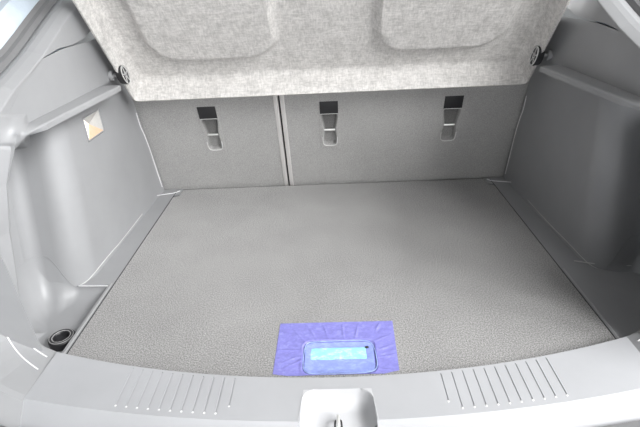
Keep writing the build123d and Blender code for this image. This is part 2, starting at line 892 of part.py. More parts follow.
def make_tray():
    """A moulded tray that fills the well, with three compartments."""
    top = -floor_thick - rest_gap
    low = -floor_height + steel + rest_gap
    clear = steel + 1.0
    wall = 6.0
    split = well_half * 0.255
    half = well_half - clear - wall
    spans = ((-half, -split - wall / 2), (-split + wall / 2, split - wall / 2), (split + wall / 2, half))
    tray = well_block(clear, low, top)
    room = (well_back + clear + wall, well_front - clear - wall)
    for left, right in spans:
        plan = RectangleRounded(right - left, room[1] - room[0], well_corner / 2)
        place = Pos((left + right) / 2, (room[0] + room[1]) / 2, low + wall)
        tray = tray - place * extrude(plan, amount=floor_height)
    return tray


def make_side_member():
    top = pan_height - steel
    inner_x, outer_x = floor_half, floor_half + beam_wide
    outer = block((inner_x, outer_x), (beam_back, floor_front), (-floor_height, top))
    inner = block(
        (inner_x + steel, outer_x - steel), (-far, far), (steel - floor_height, top - steel)
    )
    beam = outer - inner
    for place in (bolt_front, bolt_back):
        beam = beam - Pos(bolt_half_x, place, -floor_height) * Cylinder(bolt_radius, 4 * steel)
    return beam


def make_cross_member():
    low, high = -floor_height, pan_height
    back = floor_front + 2
    outer = block((-member_half, member_half), (back, member_front), (low, high))
    inner = block((-far, far), (back + steel, member_front - steel), (low + steel, high - steel))
    return outer - inner


def make_rear_panel():
    """A hollow beam below the sill, bowed like it and open at its ends."""
    def body(grow, low, high):
        face = rear_band(
            floor_back_side - 16 - grow, floor_back_middle - 16 - grow,
            sill_outer_side - 30 + grow, sill_outer_middle - 30 + grow, sill_half, low,
        )
        return extrude(face, amount=high - low)

    top = sill_foot - rest_gap
    return body(0, -floor_height, top) - body(steel, steel - floor_height, top - steel)


def make_striker():
    front, back = striker_front, striker_front - striker_long
    path = FilletPolyline(
        (0, front, sill_foot), (0, front, striker_top), (0, back, striker_top), (0, back, sill_foot), radius=8
    )
    return sweep(Plane(origin=path @ 0, z_dir=path % 0) * Circle(striker_radius), path=path)


def make_wheelhouse():
    """A pressed arch over the wheel, with a rounded inner edge."""
    bottom = (Align.CENTER, Align.CENTER, Align.MIN)
    wide = panel_side - arch_inner
    outer = Cylinder(arch_radius, wide, align=bottom)
    outer = fillet(outer.faces().sort_by(Axis.Z)[0].edges(), arch_bend)
    inner = Cylinder(arch_radius - steel, 2 * wide, align=bottom)
    inner = fillet(inner.faces().sort_by(Axis.Z)[0].edges(), arch_bend - steel)
    arch = outer - Pos(0, 0, steel) * inner
    arch = Pos(arch_inner, wheel_forward, wheel_height) * (Rot(0, 90, 0) * arch)
    return arch & block((arch_inner, panel_side), (-far, panel_front), (pan_height, far))


def make_side_panel():
    inner_top = panel_side - panel_lean
    profile = (
        (panel_side, pan_height), (panel_side + steel, pan_height), (panel_side + steel, panel_shoulder),
        (inner_top + steel, panel_top), (inner_top, panel_top), (panel_side, panel_shoulder - 1),
    )
    back = floor_back_side
    shape = across_plate(profile, back + 28, panel_front)
    outline = (
        (back + 66, pan_height), (panel_front, pan_height), (panel_front, panel_top + 15),
        (back + 388, panel_top + 15), (back + 258, 500), (back + 138, 440), (back + 113, 350),
        (back + 88, 200), (back + 66, 100),
    )
    panel = shape & side_plate(outline, floor_half, far)
    arch = Pos(panel_side - 20, wheel_forward, wheel_height) * (
        Rot(0, 90, 0) * Cylinder(arch_radius - 12, 60, align=(Align.CENTER, Align.CENTER, Align.MIN))
    )
    return panel - arch


def make_parts():
    parts = {
        "load_floor": make_load_floor(),
        "floor_handle": make_floor_handle(),
        "handle_film": make_handle_film(),
        "sill_trim": make_sill_trim(),
        "floor_pan": make_floor_pan(),
        "cross_member": make_cross_member(),
        "rear_panel": make_rear_panel(),
        "striker": make_striker(),
        "roof_header": make_header(body_profile),
        "header_trim": make_header(trim_profile),
        "weatherstrip": make_weatherstrip(),
        "underfloor_tray": make_tray(),
        "lamp": make_lamp(),
        "socket": make_socket(),
        "parcel_shelf": make_parcel_shelf(),
        "seat_hinges": together(make_seat_hinges()),
    }
    both = {
        "corner_trim": make_corner_trim(),
        "upper_trim": make_upper_trim(),
        "pillar_trim": make_pillar_trim(),
        "pillar": make_pillar(),
        "wheelhouse": make_wheelhouse(),
        "side_panel": make_side_panel(),
    }
    pairs = {
        "side_members": make_side_member(),
        "shelf_clips": make_shelf_clip(),
        "shelf_pivots": make_shelf_pivot(),
    }
    for name, shape in pairs.items():
        parts[name] = shape + mirrored(shape)
    for name, shape in both.items():
        parts[name + "_right"] = shape
        parts[name + "_left"] = mirrored(shape)
    parts["side_trim_right"] = make_side_trim(False)
    parts["side_trim_left"] = mirrored(make_side_trim(True)) - lamp_block(0, 0, far)
    for name in ("left", "right"):
        parts["seat_back_" + name] = make_seat_panel(name)
        parts["seat_foam_" + name] = make_seat_foam(name)
        parts["tether_cups_" + name] = together(make_tether_cups(name))
        parts["tether_bars_" + name] = together(make_tether_bars(name))
    parts["head_rest_left"] = make_head_rest(rest_places[0])
    parts["head_rests_right"] = together([make_head_rest(place) for place in rest_places[1:]])
    return parts


for name, shape in make_parts().items():
    export_step(Pos(0, 0, floor_height) * shape, f"parts/{name}.step")
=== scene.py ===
import math

import bpy
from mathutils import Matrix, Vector, noise


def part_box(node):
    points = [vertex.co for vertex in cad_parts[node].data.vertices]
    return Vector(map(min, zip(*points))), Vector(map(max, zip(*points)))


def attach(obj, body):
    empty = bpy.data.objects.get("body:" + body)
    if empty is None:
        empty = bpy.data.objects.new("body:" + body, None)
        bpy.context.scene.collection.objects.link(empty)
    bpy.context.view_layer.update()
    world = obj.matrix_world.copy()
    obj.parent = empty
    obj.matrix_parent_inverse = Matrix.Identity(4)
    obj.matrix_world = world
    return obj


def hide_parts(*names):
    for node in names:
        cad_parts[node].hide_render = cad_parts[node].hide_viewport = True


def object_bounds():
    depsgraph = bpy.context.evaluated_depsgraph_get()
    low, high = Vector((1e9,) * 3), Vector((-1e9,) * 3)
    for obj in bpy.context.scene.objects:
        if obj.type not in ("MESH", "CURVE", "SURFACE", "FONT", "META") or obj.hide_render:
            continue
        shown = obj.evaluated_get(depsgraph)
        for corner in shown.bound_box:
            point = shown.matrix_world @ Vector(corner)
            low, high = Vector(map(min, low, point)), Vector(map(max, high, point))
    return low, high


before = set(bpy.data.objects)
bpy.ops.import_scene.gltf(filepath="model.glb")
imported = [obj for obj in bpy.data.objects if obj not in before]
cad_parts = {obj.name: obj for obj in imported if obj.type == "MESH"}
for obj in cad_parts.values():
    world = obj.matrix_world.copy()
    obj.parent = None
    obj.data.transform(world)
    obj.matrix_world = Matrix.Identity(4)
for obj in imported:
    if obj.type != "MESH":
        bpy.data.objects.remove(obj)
cadBox = [list(corner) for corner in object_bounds()]
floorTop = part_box("load_floor")[1][2]

print("camera")
cameraSettings = {
    "place": (0.006, -0.957, 0.7566), "turn": (62.336, 2.682, 0.660), "nearest": 0.02,
    "focal": 462.0, "imageWidth": 640.0, "imageHeight": 427.0, "sensor": 36.0,
}
bpy.ops.object.select_all(action="DESELECT")
bpy.ops.object.camera_add(
    location=cameraSettings["place"], rotation=[math.radians(angle) for angle in cameraSettings["turn"]])
camera = bpy.context.object
camera.data.sensor_width = cameraSettings["sensor"]
camera.data.lens = cameraSettings["focal"] / cameraSettings["imageWidth"] * cameraSettings["sensor"]
camera.data.clip_start = cameraSettings["nearest"]
bpy.context.scene.camera = camera
bpy.context.scene.view_settings.view_transform = "Standard"
bpy.context.view_layer.update()


sides = ((-1, "Left"), (1, "Right"))


# Operators act on all that is selected, so nothing stays selected before a primitive is added
def deselect():
    bpy.ops.object.select_all(action="DESELECT")


def activate(piece):
    deselect()
    piece.select_set(True)
    bpy.context.view_layer.objects.active = piece


def addModifier(piece, kind, **settings):
    modifier = piece.modifiers.new(kind.lower(), kind)
    for key, value in settings.items():
        setattr(modifier, key, value)


def thicken(piece, thickness, offset=-1):
    addModifier(piece, "SOLIDIFY", thickness=thickness, offset=offset)


def applyModifiers(piece):
    activate(piece)
    for modifier in list(piece.modifiers):
        bpy.ops.object.modifier_apply(modifier=modifier.name)


def flipNormals(piece):
    activate(piece)
    bpy.ops.object.mode_set(mode="EDIT")
    bpy.ops.mesh.select_all(action="SELECT")
    bpy.ops.mesh.flip_normals()
    bpy.ops.object.mode_set(mode="OBJECT")


def faceUpwards(piece):
    if sum(face.normal.z for face in piece.data.polygons) < 0:
        flipNormals(piece)


def moveInto(piece, place):
    for vertex in piece.data.vertices:
        vertex.co = place(*vertex.co)


# Names the newest object, with its transform applied
def settle(name):
    piece = bpy.context.object
    piece.name = name
    bpy.ops.object.transform_apply(location=True, rotation=True, scale=True)
    return piece


# A flat grid whose points go where placeOf(u, v) says, with u and v from 0 to 1
def surfaceGrid(name, across, along, placeOf):
    deselect()
    bpy.ops.mesh.primitive_grid_add(x_subdivisions=across, y_subdivisions=along, size=1)
    piece = bpy.context.object
    piece.name = name
    for vertex in piece.data.vertices:
        vertex.co = placeOf(vertex.co.x + 0.5, vertex.co.y + 0.5)
    return piece


# A box with rounded edges; place moves each point into another frame
def roundedBox(name, low, high, bevel, segments=3, place=None):
    deselect()
    middle = [(a + b) / 2 for a, b in zip(low, high)]
    bpy.ops.mesh.primitive_cube_add(size=1, location=middle, scale=[b - a for a, b in zip(low, high)])
    piece = settle(name)
    addModifier(piece, "BEVEL", width=bevel, segments=segments, limit_method="ANGLE")
    applyModifiers(piece)
    if place:
        moveInto(piece, place)
    return piece


def ball(name, place, radius, scale, segments):
    deselect()
    bpy.ops.mesh.primitive_uv_sphere_add(
        segments=segments, ring_count=8, radius=radius, location=place, scale=scale)
    return settle(name)


# A round bead along points
def tube(name, points, radius, closed=False, resolution=3):
    curve = bpy.data.curves.new(name, "CURVE")
    curve.dimensions = "3D"
    curve.bevel_depth = radius
    curve.bevel_resolution = resolution
    curve.use_fill_caps = True
    spline = curve.splines.new("NURBS")
    spline.points.add(len(points) - 1)
    for target, point in zip(spline.points, points):
        target.co = (*point, 1)
    spline.order_u = 3
    spline.use_endpoint_u = not closed
    spline.use_cyclic_u = closed
    piece = bpy.data.objects.new(name, curve)
    bpy.context.collection.objects.link(piece)
    activate(piece)
    bpy.ops.object.convert(target="MESH")
    return bpy.context.object


def finishPiece(piece, body, finish, stands=(), angle=40):
    applyModifiers(piece)
    bpy.ops.object.shade_smooth_by_angle(angle=math.radians(angle))
    piece.data.materials.clear()
    piece.data.materials.append(materials[finish])
    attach(piece, body)
    if stands:
        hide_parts(*stands)


def bead(name, points, radius, body, finish, closed=False):
    finishPiece(tube(name, points, radius, closed), body, finish)


# A closed bead through placeOf(cosine, sine) all the way round
def ringBead(name, placeOf, radius, body, finish):
    turns = [math.radians(angle) for angle in range(0, 360, 20)]
    points = [placeOf(math.cos(turn), math.sin(turn)) for turn in turns]
    bead(name, points, radius, body, finish, True)


# A bead on the shell and its mirror image; the points are the left one's
def twinBeads(label, points, radius, finish, tail=""):
    for side, name in sides:
        turned = [Vector((-side * point.x, point.y, point.z)) for point in points]
        bead(label + name + tail, turned, radius, "shell", finish)


# A piece turned round an axis from (reach, height) pairs; placeOf(across, along, height) sets it in place
def turnedPiece(name, section, sideCount, placeOf):
    def turnedPoint(u, v):
        reach, height = section[round(v * (len(section) - 1))]
        turn = 2 * math.pi * u
        return placeOf(reach * math.cos(turn), reach * math.sin(turn), height)

    piece = surfaceGrid(name, sideCount, len(section) - 1, turnedPoint)
    addModifier(piece, "WELD", merge_threshold=0.00005)
    return piece


def between(start, end, share):
    return start + (end - start) * share


# The place at a share of a line, counted by its points
def alongLine(points, share):
    spot = share * (len(points) - 1)
    index = min(int(spot), len(points) - 2)
    part = spot - index
    return [a * (1 - part) + b * part for a, b in zip(points[index], points[index + 1])]


def smoothStep(value):
    value = max(0.0, min(1.0, value))
    return value * value * (3 - 2 * value)


def bell(value, wide):
    return math.exp(-((value / wide) ** 2))


def ripple(size, *place):
    return size * noise.noise(Vector(place))


# How far a point is inside a rounded rectangle, in its own unit
def roundedInside(x, y, halfX, halfY, corner):
    over = (max(abs(x) - halfX + corner, 0.0), max(abs(y) - halfY + corner, 0.0))
    inner = min(max(abs(x) - halfX + corner, abs(y) - halfY + corner), 0.0)
    return corner - math.hypot(*over) - inner


# Turns a square from -1 to 1 into a rounded rectangle: how far out the point is, and its place on the rim
def onRoundedRim(a, b, halfX, halfY, corner):
    ring = max(abs(a), abs(b), 1e-6)
    x, y = a / ring * halfX, b / ring * halfY
    over = (abs(x) - halfX + corner, abs(y) - halfY + corner)
    if min(over) > 0:
        reach = math.hypot(*over)
        x = math.copysign(halfX - corner + over[0] * corner / reach, x)
        y = math.copysign(halfY - corner + over[1] * corner / reach, y)
    return ring, x, y


# How far a flat point is from a line, and the share of the line that it stands at
def fromLine(x, y, start, end):
    point, start = Vector((x, y)), Vector(start)
    along = Vector(end) - start
    share = max(0.0, min(1.0, (point - start).dot(along) / along.length_squared))
    return (point - start - along * share).length, share


# The way from the camera through a pixel of its picture
def pixelRay(pixel):
    x = (pixel[0] - cameraSettings["imageWidth"] / 2) / cameraSettings["focal"]
    y = (cameraSettings["imageHeight"] / 2 - pixel[1]) / cameraSettings["focal"]
    return (camera.matrix_world.to_3x3() @ Vector((x, y, -1))).normalized()


# The point of the CAD nodes that the camera sees at a pixel, with its normal
def onSurface(pixel, names):
    hits = [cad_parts[name].ray_cast(camera.location, pixelRay(pixel)) for name in names]
    hits = [hit for hit in hits if hit[0]]
    return min(hits, key=lambda hit: (hit[1] - camera.location).length)[1:3] if hits else None


# Points on CAD nodes under pixels, a little proud of them
def pixelLine(pixels, names, proud):
    found = [onSurface(pixel, names) for pixel in pixels]
    return [place[0] + place[1] * proud for place in found if place]


# Frames of the moving pieces
seatFrame = {"forward": 0.414, "recline": math.radians(15.8)}
shelfFrame = {"forward": 0.195, "up": 0.405, "raised": math.radians(54)}


# A point of the seat backs' upright frame: depth from the rear face, height along it
def inSeat(x, depth, height):
    lean = seatFrame["recline"]
    return Vector((
        x, seatFrame["forward"] + depth * math.cos(lean) - height * math.sin(lean),
        floorTop + depth * math.sin(lean) + height * math.cos(lean)))


# A point of the closed shelf's frame, with its pivot as origin
def inShelf(x, forward, up):
    turn = -shelfFrame["raised"]
    return Vector((
        x, shelfFrame["forward"] + forward * math.cos(turn) - up * math.sin(turn),
        floorTop + shelfFrame["up"] + forward * math.sin(turn) + up * math.cos(turn)))


# Small helpers for node materials
def addNode(tree, kind, **settings):
    node = tree.nodes.new(kind)
    for key, value in settings.items():
        if hasattr(node, key):
            setattr(node, key, value)
        else:
            node.inputs[key].default_value = value
    return node


# A material, its node tree, its shader and the object's own coordinates
def startMaterial(name, levels):
    material = bpy.data.materials.new(name)
    material.use_nodes = True
    tree = material.node_tree
    shader = tree.nodes["Principled BSDF"]
    for key, value in levels.items():
        shader.inputs[key].default_value = value
    return material, tree, shader, tree.nodes.new("ShaderNodeTexCoord").outputs["Object"]


# Colours the shader by a ramp over a source; stops are (place, colour)
def tint(tree, shader, source, stops):
    ramp = tree.nodes.new("ShaderNodeValToRGB")
    band = ramp.color_ramp
    band.elements[0].position, band.elements[0].color = stops[0][0], (*stops[0][1], 1)
    band.elements[1].position, band.elements[1].color = stops[-1][0], (*stops[-1][1], 1)
    for place, colour in stops[1:-1]:
        band.elements.new(place).color = (*colour, 1)
    tree.links.new(source, ramp.inputs["Fac"])
    tree.links.new(ramp.outputs["Color"], shader.inputs["Base Color"])


def shade(colour, factor):
    return tuple(min(1.0, channel * factor) for channel in colour)


def textureOf(tree, kind, coordinates, output, **settings):
    texture = addNode(tree, "ShaderNodeTex" + kind, **settings)
    tree.links.new(coordinates, texture.inputs["Vector"])
    return texture.outputs[output]


def noiseFrom(tree, coordinates, scale, detail=3.0, rough=0.55, stretch=None):
    if stretch:
        mapping = addNode(tree, "ShaderNodeMapping", Scale=stretch)
        tree.links.new(coordinates, mapping.inputs["Vector"])
        coordinates = mapping.outputs["Vector"]
    return textureOf(tree, "Noise", coordinates, "Fac", Scale=scale, Detail=detail, Roughness=rough)


# heights are (source, strength, distance)
def addBump(tree, shader, heights):
    last = None
    for source, strength, distance in heights:
        bump = addNode(tree, "ShaderNodeBump", Strength=strength, Distance=distance)
        tree.links.new(source, bump.inputs["Height"])
        if last:
            tree.links.new(last, bump.inputs["Normal"])
        last = bump.outputs["Normal"]
    tree.links.new(last, shader.inputs["Normal"])


# first plus share times second
def blendOf(tree, first, second, share):
    mixed = addNode(tree, "ShaderNodeMath", operation="MULTIPLY_ADD")
    mixed.inputs[1].default_value = share
    tree.links.new(second, mixed.inputs[0])
    tree.links.new(first, mixed.inputs[2])
    return mixed.outputs[0]


def levelOf(tree, source, limits):
    level = tree.nodes.new("ShaderNodeMapRange")
    for key, value in limits.items():
        level.inputs[key].default_value = value
    tree.links.new(source, level.inputs["Value"])
    return level.outputs["Result"]


# Moulded plastic with a fine leather grain, faint clouding and rubbed patches
def grainedPlastic(name, colour, roughness=0.5, grain=900.0, depth=0.00012, cloud=0.05, specular=0.5):
    material, tree, shader, place = startMaterial(name, {"Roughness": roughness, "Specular IOR Level": specular})
    broad = noiseFrom(tree, place, 9.0, 4.0)
    tint(tree, shader, broad, ((0.25, shade(colour, 1 - cloud)), (0.75, shade(colour, 1 + cloud))))
    leather = textureOf(tree, "Voronoi", place, "Distance", Scale=grain)
    fine = noiseFrom(tree, place, grain * 1.7, 2.0)
    addBump(tree, shader, ((leather, 0.35, depth), (fine, 0.25, depth)))
    rub = noiseFrom(tree, place, 26.0, 5.0, 0.6)
    rubbed = levelOf(tree, rub, {"To Min": roughness - 0.05, "To Max": roughness + 0.05})
    tree.links.new(rubbed, shader.inputs["Roughness"])
    return material


# Short needle felt: light and dark fibre ends over a soft uneven tone
def carpetFibre(name, colour, contrast=0.5, nap=300.0, depth=0.0012, patchy=0.22):
    material, tree, shader, place = startMaterial(name, {
        "Roughness": 0.95, "Sheen Weight": 0.2, "Sheen Roughness": 0.6, "Specular IOR Level": 0.15})
    tuft = noiseFrom(tree, place, nap, 3.0, 0.7)
    patch = noiseFrom(tree, place, 7.0, 3.0)
    tint(tree, shader, blendOf(tree, tuft, patch, patchy), (
        (0.40, shade(colour, 1 - contrast)), (0.61, colour), (0.82, shade(colour, 1 + contrast))))
    curl = textureOf(tree, "Voronoi", place, "Distance", Scale=nap * 0.8)
    addBump(tree, shader, ((tuft, 0.7, depth), (curl, 0.5, depth * 0.6)))
    return material


# Woven seat cloth: two sets of threads over a slightly uneven dye
def wovenCloth(name, colour, thread=520.0, depth=0.0005):
    material, tree, shader, place = startMaterial(name, {
        "Roughness": 0.9, "Sheen Weight": 0.3, "Sheen Roughness": 0.5, "Specular IOR Level": 0.2})
    warp, weft = (
        textureOf(tree, "Wave", place, "Fac", bands_direction=way, Scale=thread / 6.3, Distortion=0.6)
        for way in ("X", "Z"))
    weave = blendOf(tree, warp, weft, 1.0)
    dye = noiseFrom(tree, place, 40.0, 4.0)
    tint(tree, shader, blendOf(tree, dye, weave, 0.3), (
        (0.45, shade(colour, 0.75)), (0.8, colour), (1.0, shade(colour, 1.25))))
    addBump(tree, shader, ((weave, 0.6, depth), (dye, 0.2, 0.001)))
    return material


# The carpet pressed into the tether hollows, with painted shade that darkens it the deeper it goes
def shadedHollowCarpet(name, colour):
    material = carpetFibre(name, colour, 0.26, 400.0)
    tree = material.node_tree
    base = tree.nodes["Principled BSDF"].inputs["Base Color"]
    source = base.links[0].from_socket
    # The hollow attribute is painted shade, multiplied into the carpet's colour
    deep = addNode(tree, "ShaderNodeAttribute", attribute_name="hollow")
    mixed = addNode(tree, "ShaderNodeMix", data_type="RGBA", blend_type="MULTIPLY")
    tree.links.new(deep.outputs["Fac"], mixed.inputs[0])
    tree.links.new(source, mixed.inputs[6])
    # Darkest tone of the painted shade
    mixed.inputs[7].default_value = (0.34, 0.34, 0.34, 1)
    tree.links.new(mixed.outputs[2], base)
    return material


# Pressed fibre mat: long pale and dark threads lying in all directions over a mottled ground
def matFelt(name, colour, contrast=0.24):
    material, tree, shader, place = startMaterial(name, {
        "Roughness": 0.92, "Sheen Weight": 0.15, "Specular IOR Level": 0.2})
    ground = noiseFrom(tree, place, 34.0, 5.0, 0.7)
    threads = noiseFrom(tree, place, 260.0, 4.0, 0.75, (1.0, 0.28, 0.28))
    crossing = noiseFrom(tree, place, 240.0, 4.0, 0.75, (0.24, 1.0, 1.0))
    fibre = blendOf(tree, threads, crossing, 1.0)
    mottle = levelOf(tree, blendOf(tree, fibre, ground, 0.7), {"From Min": 1.0, "From Max": 1.7})
    tint(tree, shader, mottle, (
        (0.15, shade(colour, 1 - contrast)), (0.5, colour), (0.85, shade(colour, 1 + contrast))))
    addBump(tree, shader, ((fibre, 0.5, 0.0007), (ground, 0.3, 0.0016)))
    return material


# One noise that both colours and dents the surface
def noisyMaterial(name, levels, noiseLevels, stops, dent):
    material, tree, shader, place = startMaterial(name, levels)
    source = noiseFrom(tree, place, *noiseLevels)
    tint(tree, shader, source, stops)
    addBump(tree, shader, ((source, *dent),))
    return material


def plainMetal(name, colour, roughness, metallic=1.0, coat=0.0):
    levels = {"Roughness": roughness, "Metallic": metallic, "Coat Weight": coat}
    return noisyMaterial(
        name, levels, (60.0, 5.0, 0.65), ((0.3, shade(colour, 0.9)), (0.7, colour)), (0.1, 0.0003))


# Thin tinted film, paler where its folds lift off the carpet
def crumpledFilm(name, colour, wash):
    stops = ((0.32, shade(colour, 0.86)), (0.52, colour), (0.70, wash))
    return noisyMaterial(name, {"Roughness": 0.28}, (90.0, 6.0, 0.68, (1.0, 1.6, 1.0)), stops, (0.45, 0.0012))


def glowingLens(name, colour, glow, strength):
    levels = {"Roughness": 0.25, "Emission Color": (*glow, 1), "Emission Strength": strength}
    return noisyMaterial(name, levels, (140.0, 3.0), ((0.3, shade(colour, 0.9)), (0.7, colour)), (0.1, 0.0003))


trimGrey = (0.316, 0.320, 0.328)
carpetGrey = (0.372, 0.368, 0.363)
backGrey = (0.365, 0.362, 0.355)
# Near-white grey for thin beads and dots that are painted highlights on edges, creases and groove ends
highlightGrey = (0.80, 0.80, 0.81)
materials = {
    "carpet": carpetFibre("loadFloorCarpet", carpetGrey, 0.62, 420.0, 0.0012, 0.10),
    "backCarpet": carpetFibre("seatBackCarpet", backGrey, 0.26, 400.0),
    "hollow": shadedHollowCarpet("tetherHollowShaded", backGrey),
    "felt": matFelt("shelfFelt", (0.59, 0.575, 0.557)),
    "trim": grainedPlastic("greyTrim", trimGrey, 0.44, specular=0.6),
    "sill": grainedPlastic("paleSill", (0.435, 0.442, 0.458), 0.45),
    "blackPlastic": grainedPlastic("blackPlastic", (0.022, 0.022, 0.024), 0.4),
    "splitTrim": grainedPlastic("splitTrim", (0.56, 0.545, 0.535), 0.5),
    "trimHighlight": grainedPlastic("trimHighlight", highlightGrey, 0.35),
    "litPocketPlastic": grainedPlastic("litPocketPlastic", (0.56, 0.565, 0.58), 0.42),
    "sillHighlight": grainedPlastic("sillHighlight", highlightGrey, 0.3),
    "greyEdge": grainedPlastic("greyEdge", (0.35, 0.35, 0.35), 0.3),
    "litRimPlastic": grainedPlastic("litRimPlastic", (0.40, 0.40, 0.405), 0.45),
    "palePlastic": grainedPlastic("palePlastic", (0.60, 0.60, 0.59), 0.4),
    # Pale body paint, tinted blue as a painted sky reflection
    "paint": plainMetal("palePaintSkyTint", (0.58, 0.66, 0.74), 0.25, 0.0, 0.5),
    "primer": plainMetal("greyPrimer", (0.30, 0.315, 0.32), 0.55, 0.0),
    "steel": plainMetal("barSteel", (0.88, 0.88, 0.86), 0.34, 0.55),
    "rubber": grainedPlastic("softRubber", (0.17, 0.17, 0.173), 0.6, 1200.0),
    "fabric": wovenCloth("seatFabric", (0.12, 0.12, 0.126)),
    "seam": wovenCloth("seamThread", (0.22, 0.22, 0.22), 1400.0, 0.0002),
    "foam": grainedPlastic("beadFoam", (0.07, 0.07, 0.074), 0.8, 300.0, 0.0006),
    "lens": glowingLens("lampLens", (0.55, 0.54, 0.52), (1.0, 0.9, 0.8), 0.02),
    "warmLens": glowingLens("lampWarmLens", (0.85, 0.79, 0.72), (1.0, 0.90, 0.80), 0.9),
    "emberLens": glowingLens("lampEmberLens", (0.62, 0.46, 0.33), (1.0, 0.52, 0.30), 0.24),
    "film": crumpledFilm("violetFilm", (0.255, 0.25, 0.66), (0.34, 0.35, 0.74)),
    "cyanFilmHighlight": crumpledFilm("cyanFilmHighlight", (0.36, 0.78, 0.86), (0.80, 0.92, 0.95)),
    "dishFilm": crumpledFilm("dishFilm", (0.30, 0.37, 0.80), (0.38, 0.50, 0.86)),
    "filmEdge": crumpledFilm("filmEdge", (0.42, 0.56, 0.88), (0.50, 0.68, 0.92)),
}


def both(*stems):
    return [stem + side for stem in stems for side in ("_left", "_right")]


nodeFinish = {
    "carpet": ["load_floor"],
    "backCarpet": both("seat_back"),
    "felt": ["parcel_shelf"],
    "trim": both("side_trim", "upper_trim", "pillar_trim", "corner_trim") + ["header_trim", "shelf_pivots"],
    "sill": ["sill_trim"],
    "blackPlastic": both("tether_cups") + ["floor_handle", "socket", "shelf_clips"],
    "paint": both("pillar") + ["roof_header", "rear_panel"],
    "primer": both("side_panel", "wheelhouse") + ["floor_pan", "cross_member", "side_members", "seat_hinges"],
    "steel": both("tether_bars") + ["striker"],
    "rubber": ["weatherstrip"],
    "fabric": both("seat_foam") + ["head_rest_left", "head_rests_right"],
    "foam": ["underfloor_tray"],
    "lens": ["lamp"],
    "film": ["handle_film"],
}
for finish, names in nodeFinish.items():
    for name in names:
        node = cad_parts[name]
        node.data.materials.clear()
        node.data.materials.append(materials[finish])

print("parcel shelf")
shelf = {
    "half": 0.505, "back": -0.435, "front": 0.088, "lip": -0.0122,
    "upperHalf": 0.485, "upperBack": -0.423, "upperFront": 0.060, "plate": 0.040, "top": 0.0455,
    "wall": 0.005, "corner": 0.007, "round": 0.011, "flatShare": 0.84, "across": 170, "along": 110,
    "padInner": 0.106, "padOuter": 0.432, "padFront": 0.002, "padBack": -0.380,
    "padCorner": 0.085, "padDeep": 0.019, "padSlope": 0.020, "notch": (0.029, 0.0165),
}


# The shelf's half width, back and front at a height, drawn in by an inset
def shelfEdges(up, inset):
    share = (up - shelf["lip"]) / (shelf["top"] - shelf["lip"])
    return (between(shelf["half"], shelf["upperHalf"], share) - inset,
            between(shelf["back"], shelf["upperBack"], share) + inset,
            between(shelf["front"], shelf["upperFront"], share) - inset)


# Inset and height of the visible underside, from the flat plate round to the lip
shelfSection = [(
    shelf["wall"] + shelf["round"] * (1 - math.sin(turn)), shelf["plate"] - shelf["round"] * (1 - math.cos(turn)))
    for turn in [math.radians(angle) for angle in range(0, 91, 15)]]
shelfSection += [(shelf["wall"], up) for up in (0.006, -0.004, shelf["lip"])]


def shelfPoint(u, v):
    a, b = 2 * u - 1, 2 * v - 1
    beyond = max(abs(a), abs(b), 1e-6) - shelf["flatShare"]
    inset, up = alongLine(shelfSection, max(beyond, 0) / (1 - shelf["flatShare"]))
    half, back, front = shelfEdges(up, inset)
    halfLong, middle = (front - back) / 2, (front + back) / 2
    ring, x, y = onRoundedRim(a, b, half, halfLong, shelf["corner"])
    scale = min(ring / shelf["flatShare"], 1.0)
    x, y = x * scale, y * scale + middle
    if beyond <= 0:
        inside = roundedInside(
            abs(x) - (shelf["padInner"] + shelf["padOuter"]) / 2, y - (shelf["padFront"] + shelf["padBack"]) / 2,
            (shelf["padOuter"] - shelf["padInner"]) / 2, (shelf["padFront"] - shelf["padBack"]) / 2,
            shelf["padCorner"])
        up -= shelf["padDeep"] * smoothStep(inside / shelf["padSlope"])
        up += ripple(0.0012, x * 9, y * 9, 0.3)
    return inShelf(x, y, up + ripple(0.0005, x * 45, y * 45, up * 45))


shelfSkin = surfaceGrid("shelfMoulding", shelf["across"], shelf["along"], shelfPoint)
flipNormals(shelfSkin)
thicken(shelfSkin, shelf["wall"])
applyModifiers(shelfSkin)
for side in (-1, 1):
    deselect()
    bpy.ops.mesh.primitive_cylinder_add(
        vertices=48, radius=1, depth=0.05, location=(0, 0, 0), rotation=(0, math.radians(90), 0))
    cutter = settle("notchCutter")
    moveInto(cutter, lambda x, y, z: inShelf(x + side * shelf["half"], y * shelf["notch"][0], z * shelf["notch"][1]))
    addModifier(shelfSkin, "BOOLEAN", operation="DIFFERENCE", object=cutter)
    applyModifiers(shelfSkin)
    bpy.data.objects.remove(cutter)
finishPiece(shelfSkin, "shelf", "felt", ("parcel_shelf",))

print("seat backs")
tether = {
    "places": (-0.347, 0.0, 0.350), "bodies": ("seat_left", "seat_right", "seat_right"),
    "low": 0.134, "high": 0.268, "half": 0.031, "topHalf": 0.026, "barHalf": 0.0185, "footHalf": 0.021,
    "bar": 0.1975, "foot": 0.146, "top": 0.257, "deepTop": 0.0145, "deepBar": 0.0125, "deepFoot": 0.0155,
    "slope": 0.006, "proud": 0.0009, "sunk": 0.0002, "edge": 0.003, "corner": 0.012, "widen": 0.02,
    "skin": 0.0006, "lip": 0.0013, "hem": 0.0009, "across": 36, "along": 72,
    "tabLow": 0.256, "tabHigh": 0.295, "tabHalf": 0.026, "tabThick": 0.0016,
}


# How deep the dip behind a tether bar is; it narrows to the bar and opens again below
def tetherDepth(x, height):
    low, high = tether["foot"], tether["top"]
    if height > tether["bar"]:
        share = (height - tether["bar"]) / (high - tether["bar"])
        half = between(tether["barHalf"], tether["topHalf"], smoothStep(share))
        deep = between(tether["deepBar"], tether["deepTop"], share)
    else:
        share = smoothStep((tether["bar"] - height) / tether["widen"])
        half = between(tether["barHalf"], tether["footHalf"], share)
        deep = between(tether["deepBar"], tether["deepFoot"], share)
    inside = roundedInside(x, height - (low + high) / 2, half, (high - low) / 2, tether["corner"])
    return deep * smoothStep(inside / tether["slope"])


